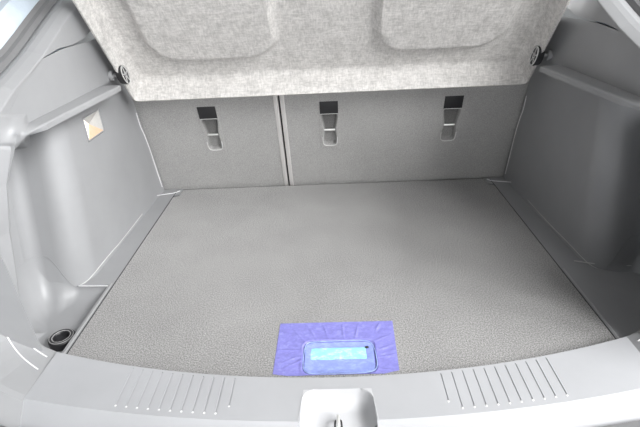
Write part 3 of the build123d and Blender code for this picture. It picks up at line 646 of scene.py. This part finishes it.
# The place over a tether hollow of a grid's point
def tetherPlace(u, v):
    return (2 * u - 1) * tether["half"], between(tether["low"], tether["high"], v)


for place, body, side in zip(tether["places"], tether["bodies"], ("Left", "Middle", "Right")):
    def mouldPoint(u, v):
        x, height = tetherPlace(u, v)
        edge = min(tether["half"] - abs(x), height - tether["low"], tether["high"] - height)
        proud = tether["proud"] * smoothStep(edge / tether["edge"]) - tether["sunk"]
        return inSeat(place + x, tetherDepth(x, height) - proud, height)

    mould = surfaceGrid("tetherMould" + side, tether["across"], tether["along"], mouldPoint)
    # Painted shade for each point: darker with depth, and stronger above the bar than below it
    for index, entry in enumerate(mould.data.attributes.new("hollow", "FLOAT", "POINT").data):
        row, column = divmod(index, tether["across"] + 1)
        x, height = tetherPlace(column / tether["across"], row / tether["along"])
        shadeStrength = 1.0 if height > tether["bar"] - 0.006 else 0.45
        entry.value = shadeStrength * tetherDepth(x, height) / tether["deepTop"]
    thicken(mould, tether["skin"])
    stands = {"Left": ("tether_cups_left",), "Middle": ("tether_cups_right",), "Right": ()}[side]
    finishPiece(mould, body, "hollow", stands, 50)
    half, foot = tether["footHalf"] + 0.001, tether["foot"]
    lipSide = [(half, foot + 0.030), (half, foot + 0.012), (half - 0.004, foot + 0.002), (half - 0.012, foot - 0.0005)]
    bead("tetherLip" + side, [
        inSeat(place + x, -0.0006, height) for x, height in [(-x, height) for x, height in lipSide] + lipSide[::-1]],
        tether["lip"], body, "palePlastic")
    tab = roundedBox(
        "tetherTab" + side, (place - tether["tabHalf"], -tether["tabThick"], tether["tabLow"]),
        (place + tether["tabHalf"], 0.0002, tether["tabHigh"]), 0.0007, 2, inSeat)
    finishPiece(tab, body, "blackPlastic")
    bead("tetherHem" + side, [
        inSeat(place + x, -0.0014, tether["tabLow"] - 0.0006) for x in (-0.0245, -0.01, 0.01, 0.0245)],
        tether["hem"], body, "palePlastic")

split = {"place": -0.139, "gap": 0.0028, "wide": 0.0125, "low": -0.026, "high": 0.499, "proud": 0.0016}
for side, body, name in ((-1, "seat_left", "Left"), (1, "seat_right", "Right")):
    edge = split["place"] + side * split["gap"]
    far = edge + side * split["wide"]
    strip = roundedBox(
        "splitEdge" + name, (min(edge, far), -split["proud"], split["low"]),
        (max(edge, far), 0.0205, split["high"]), 0.0014, 3, inSeat)
    finishPiece(strip, body, "splitTrim")
# A thin black sheet behind the split between the seat backs is painted shade, so the gap shows dark
gapShade = roundedBox(
    "splitGapShade", (split["place"] - 0.010, 0.0226, split["low"]), (split["place"] + 0.002, 0.0246, split["high"]),
    0.0006, 2, inSeat)
finishPiece(gapShade, "seat_left", "blackPlastic")

print("seat cushions and head rests")
cushions = {
    "pads": {
        "Left": {"body": "seat_left", "node": "seat_foam_left", "low": -0.545, "high": -0.151,
                 "panels": ((-0.472, -0.222),)},
        "Right": {"body": "seat_right", "node": "seat_foam_right", "low": -0.127, "high": 0.545,
                  "panels": ((-0.082, 0.172), (0.232, 0.474))},
    },
    "rear": 0.0225, "front": 0.0930, "foot": 0.034, "top": 0.488, "bevel": 0.026, "voxel": 0.007,
    "bolster": 0.010, "lumbar": 0.007, "grooveDeep": 0.0085, "grooveWide": 0.0055, "cap": 0.012,
    "channels": (0.110, 0.180, 0.250, 0.320, 0.390), "panelLow": 0.075, "panelTop": 0.425, "flare": 0.020,
    "thread": 0.0008,
}
headRests = {
    "places": {"Left": (-0.347, "seat_left", ("head_rest_left",)),
               "Middle": (0.060, "seat_right", ("head_rests_right",)), "Right": (0.345, "seat_right", ())},
    "half": 0.119, "rear": 0.030, "front": 0.094, "low": 0.532, "high": 0.616, "bevel": 0.026, "voxel": 0.006,
    "cap": 0.007, "seam": 0.090, "seamWide": 0.0045, "seamDeep": 0.0055,
    "post": 0.006, "postHalf": 0.070, "postDepth": 0.062, "seatTop": 0.4955,
}


def softBlock(name, low, high, settings):
    pad = roundedBox(name, low, high, settings["bevel"], 5)
    addModifier(pad, "REMESH", mode="VOXEL", voxel_size=settings["voxel"])
    applyModifiers(pad)
    return pad


# Swells a closed pad like sewn cloth over foam, with its rear face held, caps how far it goes and smooths it
def swell(piece, held, cap, pressure=4.0, frames=20):
    start = [vertex.co.copy() for vertex in piece.data.vertices]
    pins = piece.vertex_groups.new(name="held")
    pins.add([vertex.index for vertex in piece.data.vertices if held(vertex.co)], 1.0, "REPLACE")
    cloth = piece.modifiers.new("cloth", "CLOTH")
    cloth.settings.quality = 4
    cloth.settings.use_pressure = True
    cloth.settings.uniform_pressure_force = pressure
    cloth.settings.effector_weights.gravity = 0
    cloth.settings.vertex_group_mass = "held"
    cloth.collision_settings.use_collision = False
    cloth.point_cache.frame_end = frames
    for step in range(1, frames + 1):
        bpy.context.scene.frame_set(step)
    applyModifiers(piece)
    bpy.context.scene.frame_set(1)
    piece.vertex_groups.clear()
    for vertex, origin in zip(piece.data.vertices, start):
        move = vertex.co - origin
        if move.length > cap:
            vertex.co = origin + move * cap / move.length
    addModifier(piece, "SUBSURF", levels=1, render_levels=1)
    applyModifiers(piece)


# The sewn lines of one seat back: panel edges that spread towards the shoulders, and channels between them
def seamLines(panels):
    lines = []
    low, top, flare = cushions["panelLow"], cushions["panelTop"], cushions["flare"]
    for left, right in panels:
        lines.append(((left, low), (left - flare, top)))
        lines.append(((right, low), (right + flare, top)))
        for height in (low,) + cushions["channels"] + (top,):
            spread = flare * (height - low) / (top - low)
            lines.append(((left - spread, height), (right + spread, height)))
    return lines


for side, row in cushions["pads"].items():
    rear = cushions["rear"]
    pad = softBlock(
        "seatCushion" + side, (row["low"] + 0.006, rear, cushions["foot"]),
        (row["high"] - 0.006, cushions["front"], cushions["top"]), cushions)
    lines = seamLines(row["panels"])
    for vertex in pad.data.vertices:
        x, depth, height = vertex.co
        frontShare = smoothStep((depth - rear - 0.02) / 0.04)
        fromPanel = min(max(left - x, x - right, 0.0) for left, right in row["panels"])
        vertex.co.y += frontShare * (
            cushions["bolster"] * (smoothStep(fromPanel / 0.05) - 0.6)
            + cushions["lumbar"] * (bell(height - 0.17, 0.09) - 0.7))
    swell(pad, lambda co: co.y < rear + 0.012, cushions["cap"])
    for vertex in pad.data.vertices:
        x, depth, height = vertex.co
        if depth > rear + 0.03:
            away = min(fromLine(x, height, *line)[0] for line in lines)
            vertex.co.y -= cushions["grooveDeep"] * bell(away, cushions["grooveWide"])
    pad.data.update()
    bpy.context.view_layer.update()
    for index, (start, end) in enumerate(lines):
        points = []
        for step in range(13):
            x, height = (start[axis] + (end[axis] - start[axis]) * step / 12 for axis in (0, 1))
            hit, point, normal, face = pad.ray_cast((x, 0.3, height), (0, -1, 0))
            points.append(inSeat(x, point.y + 0.0003, height))
        bead("seam" + side + str(index), points, cushions["thread"], row["body"], "seam")
    moveInto(pad, inSeat)
    finishPiece(pad, row["body"], "fabric", (row["node"],), 60)

for side, (middle, body, stands) in headRests["places"].items():
    rear, front, low, high = (headRests[key] for key in ("rear", "front", "low", "high"))
    pad = softBlock(
        "headRest" + side, (middle - headRests["half"], rear, low), (middle + headRests["half"], front, high),
        headRests)
    swell(pad, lambda co: False, headRests["cap"])
    for vertex in pad.data.vertices:
        x, depth, height = vertex.co
        near = bell(abs(x - middle) - headRests["seam"], headRests["seamWide"])
        out = Vector((depth - (rear + front) / 2, height - (low + high) / 2))
        if out.length > 1e-4:
            pull = out.normalized() * headRests["seamDeep"] * near
            vertex.co.y -= pull.x
            vertex.co.z -= pull.y
    moveInto(pad, inSeat)
    finishPiece(pad, body, "fabric", stands, 60)
    depth, top = headRests["postDepth"], headRests["seatTop"]
    for number, x in enumerate((middle - headRests["postHalf"], middle + headRests["postHalf"])):
        post = tube(
            "headRestPost" + side + str(number),
            [inSeat(x, depth, height) for height in (top + 0.001, 0.51, 0.53, 0.545)], headRests["post"], False, 5)
        finishPiece(post, body, "steel")
        collar = roundedBox(
            "headRestGuide" + side + str(number), (x - 0.013, depth - 0.011, top - 0.006),
            (x + 0.013, depth + 0.011, top + 0.008), 0.004, 3, inSeat)
        finishPiece(collar, body, "blackPlastic")

print("film over the floor's handle")
film = {
    "x": 0.005, "y": -0.348, "outline": (
        (-0.113, 0.090), (0.105, 0.089), (0.101, -0.036), (0.075, -0.0425), (-0.089, -0.0425), (-0.115, -0.038)),
    "thick": 0.0004, "lift": 0.0007, "across": 130, "along": 84,
    "dish": (0.067, 0.042, 0.016), "sag": 0.0022, "tail": 0.12, "fold": 0.0011, "foldWide": 0.0016,
    "dishSlope": 0.006, "rim": 0.0007, "rimWide": 0.0022, "flatSlope": 0.004, "skin": 0.0003, "line": 0.0007,
}
foldLines = (
    ((-0.112, 0.018), (-0.062, 0.016)), ((-0.104, -0.014), (-0.066, 0.004)), ((-0.098, -0.026), (-0.060, -0.004)),
    ((-0.058, 0.030), (-0.088, 0.076)), ((-0.040, 0.040), (-0.060, 0.084)), ((-0.018, 0.042), (-0.030, 0.085)),
    ((0.010, 0.043), (0.008, 0.084)), ((0.030, 0.042), (0.038, 0.080)), ((0.055, 0.030), (0.098, 0.052)),
    ((0.064, 0.010), (0.102, 0.026)), ((0.066, -0.006), (0.104, 0.002)), ((0.060, -0.030), (0.092, -0.036)),
    ((-0.06, 0.022), (0.06, 0.027)), ((-0.090, 0.050), (-0.108, 0.070)), ((0.070, 0.060), (0.080, 0.086)),
)


# A point over the film's middle, counted from the load floor
def overFilm(x, y, height):
    return Vector((film["x"] + x, film["y"] + y, floorTop + height))


# A thin raised fold along a short line, fading at its ends
def foldHeight(x, y, line):
    away, share = fromLine(x, y, *line)
    return bell(away, film["foldWide"]) * (0.35 + 0.65 * math.sin(math.pi * share))


# The sheet between its cut edges, lifted by folds and sagging into the handle's dish
def filmPoint(u, v):
    topLeft, topRight, right, midRight, midLeft, left = film["outline"]
    tail = film["tail"]
    if u < tail:
        start, end, share = left, midLeft, u / tail
    elif u > 1 - tail:
        start, end, share = midRight, right, (u - 1 + tail) / tail
    else:
        start, end, share = midLeft, midRight, (u - tail) / (1 - 2 * tail)
    x, y = (
        between(start[axis], end[axis], share) * (1 - v) + between(topLeft[axis], topRight[axis], u) * v
        for axis in (0, 1))
    inside = roundedInside(x, y, *film["dish"])
    dish = film["sag"] * smoothStep(inside / film["dishSlope"])
    rim = film["rim"] * bell(inside, film["rimWide"])
    flat = smoothStep(inside / film["flatSlope"])
    folds = max(foldHeight(x, y, line) for line in foldLines) * film["fold"] * (1 - flat)
    crumple = ripple(0.0004, x * 120, y * 150, 1.7) + ripple(0.0003, x * 300, y * 300, 4)
    return overFilm(x, y, film["lift"] + rim + folds + crumple * (1 - 0.5 * flat) - dish)


sheet = surfaceGrid("handleFilm", film["across"], film["along"], filmPoint)
thicken(sheet, film["thick"])
finishPiece(sheet, "floor_board", "film", ("handle_film",), 60)

grip = {"low": (-0.057, -0.011), "high": (0.053, 0.027), "top": -0.0026, "rise": 0.0022, "slope": 0.007}


def gripPoint(u, v):
    x, y = (between(grip["low"][axis], grip["high"][axis], (u, v)[axis]) for axis in (0, 1))
    edge = min(x - grip["low"][0], grip["high"][0] - x, y - grip["low"][1], grip["high"][1] - y)
    height = grip["top"] + grip["rise"] * smoothStep(edge / grip["slope"])
    return overFilm(x, y, height + ripple(0.0003, x * 90, y * 200, 2))


dishSkin = {"half": (0.0615, 0.0365), "middle": -0.002, "corner": 0.015, "top": 0.0006, "deep": 0.0015}


def dishPoint(u, v):
    ring, x, y = onRoundedRim(2 * u - 1, 2 * v - 1, *dishSkin["half"], dishSkin["corner"])
    x, y = x * ring, y * ring + dishSkin["middle"]
    height = dishSkin["top"] - dishSkin["deep"] * smoothStep((1 - ring) / 0.25)
    return overFilm(x, y, height + ripple(0.0004, x * 120, y * 150, 6))


# Over the grip bar the film is pale cyan: the pale bar under it, with a painted highlight on top
for name, across, along, placeOf, finish in (
        ("filmOverGrip", 60, 24, gripPoint, "cyanFilmHighlight"), ("filmOverDish", 70, 44, dishPoint, "dishFilm")):
    skin = surfaceGrid(name, across, along, placeOf)
    thicken(skin, film["skin"])
    finishPiece(skin, "floor_board", finish, (), 60)
gripHole = ball("gripHole", overFilm(0.0505, 0.0205, 0.0004), 0.0030, (1.2, 1, 0.35), 16)
finishPiece(gripHole, "floor_board", "blackPlastic")
bead("filmDishEdge", [
    overFilm(x, y, 0.0008) for x, y in (
        (0.0, 0.038), (-0.045, 0.037), (-0.060, 0.034), (-0.063, 0.018), (-0.065, -0.020), (-0.060, -0.036),
        (-0.045, -0.0405), (0.0, -0.041), (0.048, -0.040), (0.062, -0.034), (0.066, -0.018), (0.064, 0.018),
        (0.058, 0.034), (0.045, 0.038))], film["line"], "floor_board", "filmEdge", True)

print("lamp")
lamp = {
    "back": 0.0485, "front": 0.1275, "low": 0.2885, "high": 0.3395, "x": -0.549,
    "peak": (-0.5595, 0.087, 0.317), "thick": 0.0012, "bevel": 0.0004, "rim": 0.0014,
}
lampPeak = Vector((*lamp["peak"][:2], floorTop + lamp["peak"][2]))
lampCorners = [Vector((lamp["x"], lamp[y], floorTop + lamp[height])) for y, height in (
    ("back", "low"), ("front", "low"), ("front", "high"), ("back", "high"))]
for index, (name, finish) in enumerate((
        ("Low", "emberLens"), ("Front", "lens"), ("High", "lens"), ("Rear", "warmLens"))):
    start, end = lampCorners[index], lampCorners[(index + 1) % 4]
    deselect()
    bpy.ops.mesh.primitive_circle_add(vertices=3, fill_type="NGON", radius=1)
    facet = bpy.context.object
    facet.name = "lampFacet" + name
    for vertex, corner in zip(facet.data.vertices, (start, end, lampPeak)):
        vertex.co = corner
    thicken(facet, lamp["thick"], 0)
    addModifier(facet, "BEVEL", width=lamp["bevel"], segments=2, limit_method="ANGLE")
    finishPiece(facet, "shell", finish, ("lamp",) if name == "Rear" else ())
for index, name in enumerate(("Low", "Front", "High", "Rear")):
    bead("lampRim" + name, [lampCorners[index], lampCorners[(index + 1) % 4]], lamp["rim"], "shell", "trim")

print("sill grooves' ends, crease beads and small fittings")
groove = {"count": 11, "first": 0.168, "pitch": 0.018, "backBow": 0.055, "short": 0.014,
          "back": -0.4862, "half": 0.505, "top": 0.0196, "dot": 0.0021}
# A small pale dot at each groove's rear end is a painted highlight on its rounded end
for side, name in sides:
    for index in range(groove["count"]):
        place = groove["first"] + index * groove["pitch"]
        back = groove["back"] + (place / groove["half"]) ** 2 * groove["backBow"]
        back += 0 if index else groove["short"]
        dot = ball("grooveEnd" + name + str(index), (side * place, back, floorTop + groove["top"]), groove["dot"],
                   (1, 1, 0.5), 12)
        finishPiece(dot, "shell", "sillHighlight")

pocket = {
    "front": -0.4385, "back": -0.4955, "halfFront": 0.0538, "halfBack": 0.0590, "ground": -0.0072,
    "lip": 0.0206, "fillet": 0.024, "across": 60, "along": 30, "slot": 0.0052, "slotFront": -0.474,
    "slotEnd": 0.003, "slotLine": 0.0013, "thick": 0.0008,
}


# The striker pocket's ground, rising in one wide fillet to the sill at the front and both sides; it is paler than the
# sill, as painted light in the pocket
def pocketPoint(u, v):
    y = between(pocket["front"], pocket["back"], v)
    half = between(pocket["halfFront"], pocket["halfBack"], v)
    x = (1 - 2 * u) * half
    across = max(pocket["fillet"] - (half - abs(x)), 0.0)
    ahead = max(pocket["fillet"] - (pocket["front"] - y), 0.0)
    out = min(math.hypot(across, ahead) / pocket["fillet"], 1.0)
    height = between(pocket["ground"], pocket["lip"], 1 - math.sqrt(max(0.0, 1 - out * out)))
    return Vector((x, y, floorTop + height))


insert = surfaceGrid("strikerPocket", pocket["across"], pocket["along"], pocketPoint)
faceUpwards(insert)
thicken(insert, pocket["thick"])
finishPiece(insert, "shell", "litPocketPlastic", (), 80)
slotSide = [(pocket["slot"], pocket["back"] + 0.001), (pocket["slot"], pocket["slotFront"] - 0.003),
            (pocket["slotEnd"], pocket["slotFront"])]
bead("strikerSlot", [
    Vector((x, y, floorTop + pocket["ground"] + 0.0004))
    for x, y in [(-x, y) for x, y in slotSide] + slotSide[::-1]],
    pocket["slotLine"], "shell", "blackPlastic")

# The corner trim's two creases as pale beads: painted highlights where the crease edges catch light
creaseLines = (
    ((4, 290), (5, 297), (10, 312), (18, 329), (28, 343), (38, 352), (47, 357)),
    ((1, 325), (8, 339), (17, 352), (27, 362), (38, 369.5)),
)
for index, pixels in enumerate(creaseLines):
    places = pixelLine(pixels, ("corner_trim_left",), 0.0004)
    twinBeads("cornerCrease", places, 0.0012, "trimHighlight", tail=str(index))

socket = {"x": -0.547, "y": -0.262, "floor": -0.032, "high": 0.0195, "outer": 0.0245, "bore": 0.0150, "base": 0.0065}
high, outer, bore, base = (socket[key] for key in ("high", "outer", "bore", "base"))
socketSection = (
    (outer, 0.0033), (outer, high - 0.003), (outer - 0.001, high - 0.0008), (outer - 0.003, high),
    (bore + 0.003, high), (bore + 0.001, high - 0.001), (bore, high - 0.004), (bore - 0.0005, 0.008),
    (bore - 0.004, base), (0.004, base),
)


def inSocket(across, along, height):
    return Vector((socket["x"] + across, socket["y"] - along, floorTop + socket["floor"] + height))


socketPiece = turnedPiece("socketBody", socketSection, 48, inSocket)
thicken(socketPiece, 0.0008)
finishPiece(socketPiece, "shell", "blackPlastic", ("socket",), 50)
for name, reach in (("Outer", outer - 0.0022), ("Inner", bore + 0.0022)):
    ringBead("socketRing" + name, lambda cosine, sine: inSocket(reach * cosine, -reach * sine, high + 0.0002),
             0.0009, "shell", "greyEdge")

clip = {"face": 0.4925, "thick": 0.0165, "long": 0.0265, "wide": 0.0150, "arms": 5,
        "pin": 0.0045, "flange": 0.0118, "flangeAt": 0.5215, "pinEnd": 0.5316}


# The boss is a closed oval across the shelf's lip, and the pin ends in a flange on the upper trim
bossSection = [(0.05, 0)] + [(1, clip["thick"] * part / 3) for part in range(4)] + [(0.05, clip["thick"])]
pinSection = ((0.0001, 0.500), (clip["pin"], 0.500), (clip["pin"], clip["flangeAt"]),
              (clip["flange"], clip["flangeAt"]), (clip["flange"], clip["pinEnd"]), (0.0001, clip["pinEnd"]))
for side, name in sides:
    def onBoss(across, along, x):
        return inShelf(side * (clip["face"] + x), -side * clip["long"] * across, clip["wide"] * along)

    def onClip(cosine, sine, share):
        return onBoss(-side * share * cosine, share * sine, -0.0002)

    for piece, finish, slot, body, stands in (
            (turnedPiece("clipBoss" + name, bossSection, 40, onBoss), "blackPlastic", "black_plastic", "shelf",
             "shelf_clips"),
            (turnedPiece("pivotPin" + name, pinSection, 40, lambda across, along, x: inShelf(
                side * x, -side * across, along)), "trim", "trim", "shell", "shelf_pivots")):
        addModifier(piece, "BEVEL", width=0.0010, segments=2, limit_method="ANGLE", angle_limit=math.radians(60))
        finishPiece(piece, body, finish, (stands,) if side < 0 else ())
    for label, share, radius, finish in (
            ("clipRing", 0.97, 0.0014, "palePlastic"), ("clipHub", 0.34, 0.0013, "greyEdge")):
        ringBead(label + name, lambda cosine, sine: onClip(cosine, sine, share), radius, "shelf", finish)
    for arm in range(clip["arms"]):
        turn = math.radians(90 + 360 * arm / clip["arms"])
        points = [onClip(math.cos(turn), math.sin(turn), share) for share in (0.12, 0.5, 0.88)]
        bead("clipArm" + name + str(arm), points, 0.0012, "shelf", "palePlastic")

print("side pocket bowls, ledge edges and seam beads")
bowl = {
    "centre": (-0.592, -0.222), "rays": 120, "rows": 20, "ground": -0.0284, "rimTop": -0.0035, "wallTop": 0.080,
    "proud": 0.0014, "reachWall": 0.080, "reachLedge": 0.050, "reachRim": 0.034, "reachSocket": 0.010,
    "farthest": 0.16, "socketAngle": 318.0, "socketSpan": 38.0, "curved": 0.7, "ledgeLook": 50.0, "rise": 26.0,
    "wallEnd": 222.0, "rearStart": 250.0, "ledgeCorner": 54.0, "ledgeStep": 0.006,
    "thick": 0.0006,
}


def compass(angle):
    return Vector((math.cos(math.radians(angle)), math.sin(math.radians(angle)), 0))


# How far the left side trim is from the bowl's middle, at an angle and a height over the load floor
def sideReach(angle, height):
    origin = Vector((*bowl["centre"], floorTop + height))
    hit, point, normal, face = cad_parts["side_trim_left"].ray_cast(origin, compass(angle))
    return (point - origin).length if hit else 1.0


# The ledge's tip is where it stops standing in front of the wall
bowlTip = bowl["ledgeLook"]
while bowlTip < 100 and abs(sideReach(bowlTip, 0.012) - sideReach(bowlTip, bowl["rimTop"])) > bowl["ledgeStep"]:
    bowlTip += 0.5
print("ledge tip at", bowlTip)


# How much a direction round the bowl looks at a wall rather than at the rim: 0 to 1
def wallShare(angle):
    if angle < 180:
        return smoothStep((angle - bowlTip) / bowl["rise"])
    return smoothStep((bowl["rearStart"] - angle) / (bowl["rearStart"] - bowl["wallEnd"]))


bowlEdge = []
reachNow = 0.08
for step in range(bowl["rays"] + 1):
    angle = 360.0 * step / bowl["rays"]
    share = wallShare(angle)
    top = between(bowl["rimTop"], bowl["wallTop"], share)
    found = sideReach(angle, top)
    reachNow = found - bowl["proud"] if found < bowl["farthest"] else reachNow
    nearSocket = max(0.0, 1 - abs(angle - bowl["socketAngle"]) / bowl["socketSpan"])
    draw = between(bowl["reachRim"], bowl["reachSocket"], smoothStep(nearSocket * 1.6))
    draw = between(draw, bowl["reachWall"], share)
    if angle < 180:
        draw = max(draw, bowl["reachLedge"] * smoothStep((angle - 30) / 20))
    bowlEdge.append((compass(angle), reachNow, top, min(draw, reachNow * 0.85)))


# A point of the bowl: down the wall, round a wide fillet and over the ground to the middle
def bowlPoint(side, u, v):
    way, reach, top, draw = bowlEdge[round(u * bowl["rays"])]
    share = min(v / bowl["curved"], 1.0)
    out = reach - draw * share * share
    height = bowl["ground"] + (top - bowl["ground"]) * (1 - share) ** 2
    if v >= bowl["curved"]:
        out = (reach - draw) * (1 - (v - bowl["curved"]) / (1 - bowl["curved"]))
    x, y = bowl["centre"][0] + way.x * out, bowl["centre"][1] + way.y * out
    return Vector((-side * x, y, floorTop + height))


for side, name in sides:
    skin = surfaceGrid("pocketBowl" + name, bowl["rays"], bowl["rows"], lambda u, v: bowlPoint(side, u, v))
    addModifier(skin, "WELD", merge_threshold=0.00002)
    applyModifiers(skin)
    faceUpwards(skin)
    thicken(skin, bowl["thick"])
    finishPiece(skin, "shell", "trim", (), 60)


# A point on the ledge's rear edge, at an angle round the bowl
def ledgeEdge(angle):
    place = compass(angle) * sideReach(angle, bowl["rimTop"])
    return Vector((bowl["centre"][0] + place.x, bowl["centre"][1] + place.y, floorTop - 0.0015))


ledgeTip, ledgeCorner = ledgeEdge(bowlTip), ledgeEdge(bowl["ledgeCorner"])
rearFill = {"low": -0.030, "high": 0.26, "thick": 0.0015, "line": (
    (-0.675, -0.15), (-0.676, -0.29), (-0.673, -0.32), (-0.655, -0.338), (-0.60, -0.341), (-0.53, -0.339))}
for side, name in sides:
    def fillPoint(u, v):
        x, y = alongLine(rearFill["line"], u)
        return Vector((-side * x, y, floorTop + between(rearFill["low"], rearFill["high"], v if side < 0 else 1 - v)))

    filler = surfaceGrid("pocketRear" + name, 30, 8, fillPoint)
    thicken(filler, rearFill["thick"], 0)
    finishPiece(filler, "shell", "trim")

seams = {"floorEdge": -0.5004, "front": 0.392, "back": -0.330, "deep": -0.0002,
         "rim": -0.5066, "rimFront": -0.104, "rimDeep": -0.0018,
         "ledgeRadius": 0.0013, "floorRadius": 0.0011, "rimRadius": 0.0026}
# A pale bead along the ledge's rear end is a painted highlight on its edge
twinBeads("ledgeEnd", [ledgeTip, ledgeTip * 0.5 + ledgeCorner * 0.5, ledgeCorner], seams["ledgeRadius"], "trimHighlight")
# A black tube along each edge of the load floor is painted shade in the gap between board and trim
twinBeads("floorGapShade", [Vector((seams["floorEdge"], y, floorTop + seams["deep"])) for y in (
    seams["front"], 0.0, seams["back"])], seams["floorRadius"], "blackPlastic")
# The pocket rim bead is paler than the trim it belongs to: painted light on its narrow top
twinBeads("pocketRim", [Vector((seams["rim"], y, floorTop + seams["rimDeep"])) for y in (
    seams["rimFront"], -0.2, -0.3, seams["back"])], seams["rimRadius"], "litRimPlastic")

# Beads along the left side trim, as pixels of the camera's picture, and one on the right; their pale colours are
# painted highlights along edges, steps and the ledge's foot
beads = {
    "proud": 0.0007, "radius": 0.0013, "thinRadius": 0.0009, "footRadius": 0.0012,
    "wallFront": ((136, 113), (140, 127), (143, 132), (150, 150), (157, 172), (162, 187)),
    "ledgeStep": ((157, 195.5), (168, 194), (176, 193), (180, 191)),
    "ledgeFoot": ((83, 284), (88, 280), (92, 275.5), (97, 269.5), (103, 262), (110, 253.5), (122, 240), (142, 214)),
    "footRight": ((574, 261), (592, 263.5), (612, 265), (632, 265.5)),
}
leftTrim = ("side_trim_left",)
twinBeads("wallFront", pixelLine(beads["wallFront"], leftTrim, beads["proud"]), beads["radius"], "trimHighlight")
twinBeads("ledgeStep", pixelLine(beads["ledgeStep"], leftTrim + ("load_floor",), beads["proud"]),
          beads["radius"], "trimHighlight")
twinBeads("ledgeFoot", [ledgeTip] + pixelLine(beads["ledgeFoot"], leftTrim, beads["proud"]),
          beads["thinRadius"], "palePlastic")
bead("footRight", pixelLine(beads["footRight"], ("side_trim_right",), beads["proud"]), beads["footRadius"],
     "shell", "palePlastic")

# A smooth closing piece between the rail's rear end and the corner trim, over a window of the picture
closing = {"left": -14.0, "right": 30.0, "top": 111.0, "bottom": 149.0, "across": 33, "along": 28, "rounds": 200,
           "farthest": 0.9, "proud": 0.001, "border": 5, "thick": 0.0015,
           "nodes": ("upper_trim_left", "side_trim_left", "corner_trim_left", "pillar_trim_left")}


def closingPixel(across, down):
    return between(closing["left"], closing["right"], across), between(closing["top"], closing["bottom"], down)


measured = []
for row in range(closing["along"] + 1):
    line = []
    for column in range(closing["across"] + 1):
        found = onSurface(closingPixel(column / closing["across"], row / closing["along"]), closing["nodes"])
        line.append((found[0] - camera.location).length if found else (line or [closing["farthest"]])[-1])
    measured.append(line)
depths = [list(line) for line in measured]
for turn in range(closing["rounds"]):
    before = [list(line) for line in depths]
    for row in range(1, closing["along"]):
        for column in range(1, closing["across"]):
            level = (before[row - 1][column] + before[row + 1][column]
                     + before[row][column - 1] + before[row][column + 1]) / 4
            depths[row][column] = min(level, measured[row][column] - closing["proud"])


def closingPoint(u, v):
    row, column = round((1 - v) * closing["along"]), round(u * closing["across"])
    edge = min(row, closing["along"] - row, column, closing["across"] - column)
    blend = smoothStep(edge / closing["border"])
    depth = measured[row][column] * (1 - blend) + depths[row][column] * blend
    return camera.location + pixelRay(closingPixel(u, 1 - v)) * (depth + 0.0015 - 0.0025 * blend)


closer = surfaceGrid("railEndLeft", closing["across"], closing["along"], closingPoint)
thicken(closer, closing["thick"])
finishPiece(closer, "shell", "trim", (), 60)

print("floor, backdrop and lights")
studio = {"floorColour": (0.80, 0.80, 0.80), "floorHalf": 6.0, "under": 0.0005, "world": 0.015, "backdrop": 0.85,
          "sky": (0.95, 0.98, 1.0)}
deselect()
bpy.ops.mesh.primitive_plane_add(size=studio["floorHalf"] * 2, location=(0, 0, cadBox[0][2] - studio["under"]))
studioFloor = bpy.context.object
studioFloor.name = "studioFloor"
studioFloor.data.materials.append(
    startMaterial("paleFloor", {"Roughness": 0.8, "Base Color": (*studio["floorColour"], 1)})[0])

# The world lights dimly, and shows as a pale backdrop to the camera, in gloss and through glass
world = bpy.context.scene.world or bpy.data.worlds.new("studio")
bpy.context.scene.world = world
world.use_nodes = True
worldTree = world.node_tree
sky = worldTree.nodes["Background"]
sky.inputs["Color"].default_value = (*studio["sky"], 1)
rays = worldTree.nodes.new("ShaderNodeLightPath").outputs
seen = rays["Is Camera Ray"]
for kind in ("Is Glossy Ray", "Is Transmission Ray"):
    greater = addNode(worldTree, "ShaderNodeMath", operation="MAXIMUM")
    worldTree.links.new(seen, greater.inputs[0])
    worldTree.links.new(rays[kind], greater.inputs[1])
    seen = greater.outputs[0]
strength = levelOf(worldTree, seen, {"To Min": studio["world"], "To Max": studio["backdrop"]})
worldTree.links.new(strength, sky.inputs["Strength"])

studioLights = {
    "keyBehind": {"place": (1.8, -2.4, 2.2), "size": 1.4, "power": 107.0, "aim": (-0.1, 0.0, 0.25)},
    "keyRight": {"place": (2.4, -0.9, 2.4), "size": 1.2, "power": 117.0, "aim": (-0.2, 0.0, 0.25)},
    "fillTop": {"place": (0.1, -0.9, 1.9), "size": 0.9, "power": 3.0, "aim": (0.0, 0.0, 0.2)},
    "behind": {"place": (0.4, -3.2, 0.9), "size": 1.6, "power": 10.0, "aim": (0.0, 0.0, 0.3)},
    "sillStrip": {"place": (0.0, -2.6, 0.45), "size": 1.5, "power": 1.2, "aim": (0.0, -0.52, 0.06), "spread": 26.0},
    "leftWall": {"place": (1.5, -1.9, 1.0), "size": 1.0, "power": 1.2, "aim": (-0.62, -0.1, 0.38), "spread": 30.0},
    "outsideLeft": {"place": (-3.0, 0.3, 0.45), "size": 0.8, "power": 50.0, "aim": (-0.7, 0.0, 0.3)},
    "outsideFront": {"place": (-0.8, 3.2, 0.45), "size": 0.8, "power": 50.0, "aim": (0.0, 0.5, 0.3)},
}
for name, row in studioLights.items():
    deselect()
    bpy.ops.object.light_add(type="AREA", location=row["place"])
    light = bpy.context.object
    light.name = name
    light.data.size = row["size"]
    light.data.energy = row["power"]
    light.data.spread = math.radians(row.get("spread", 180.0))
    light.rotation_euler = (Vector(row["aim"]) - light.location).to_track_quat("-Z", "Y").to_euler()
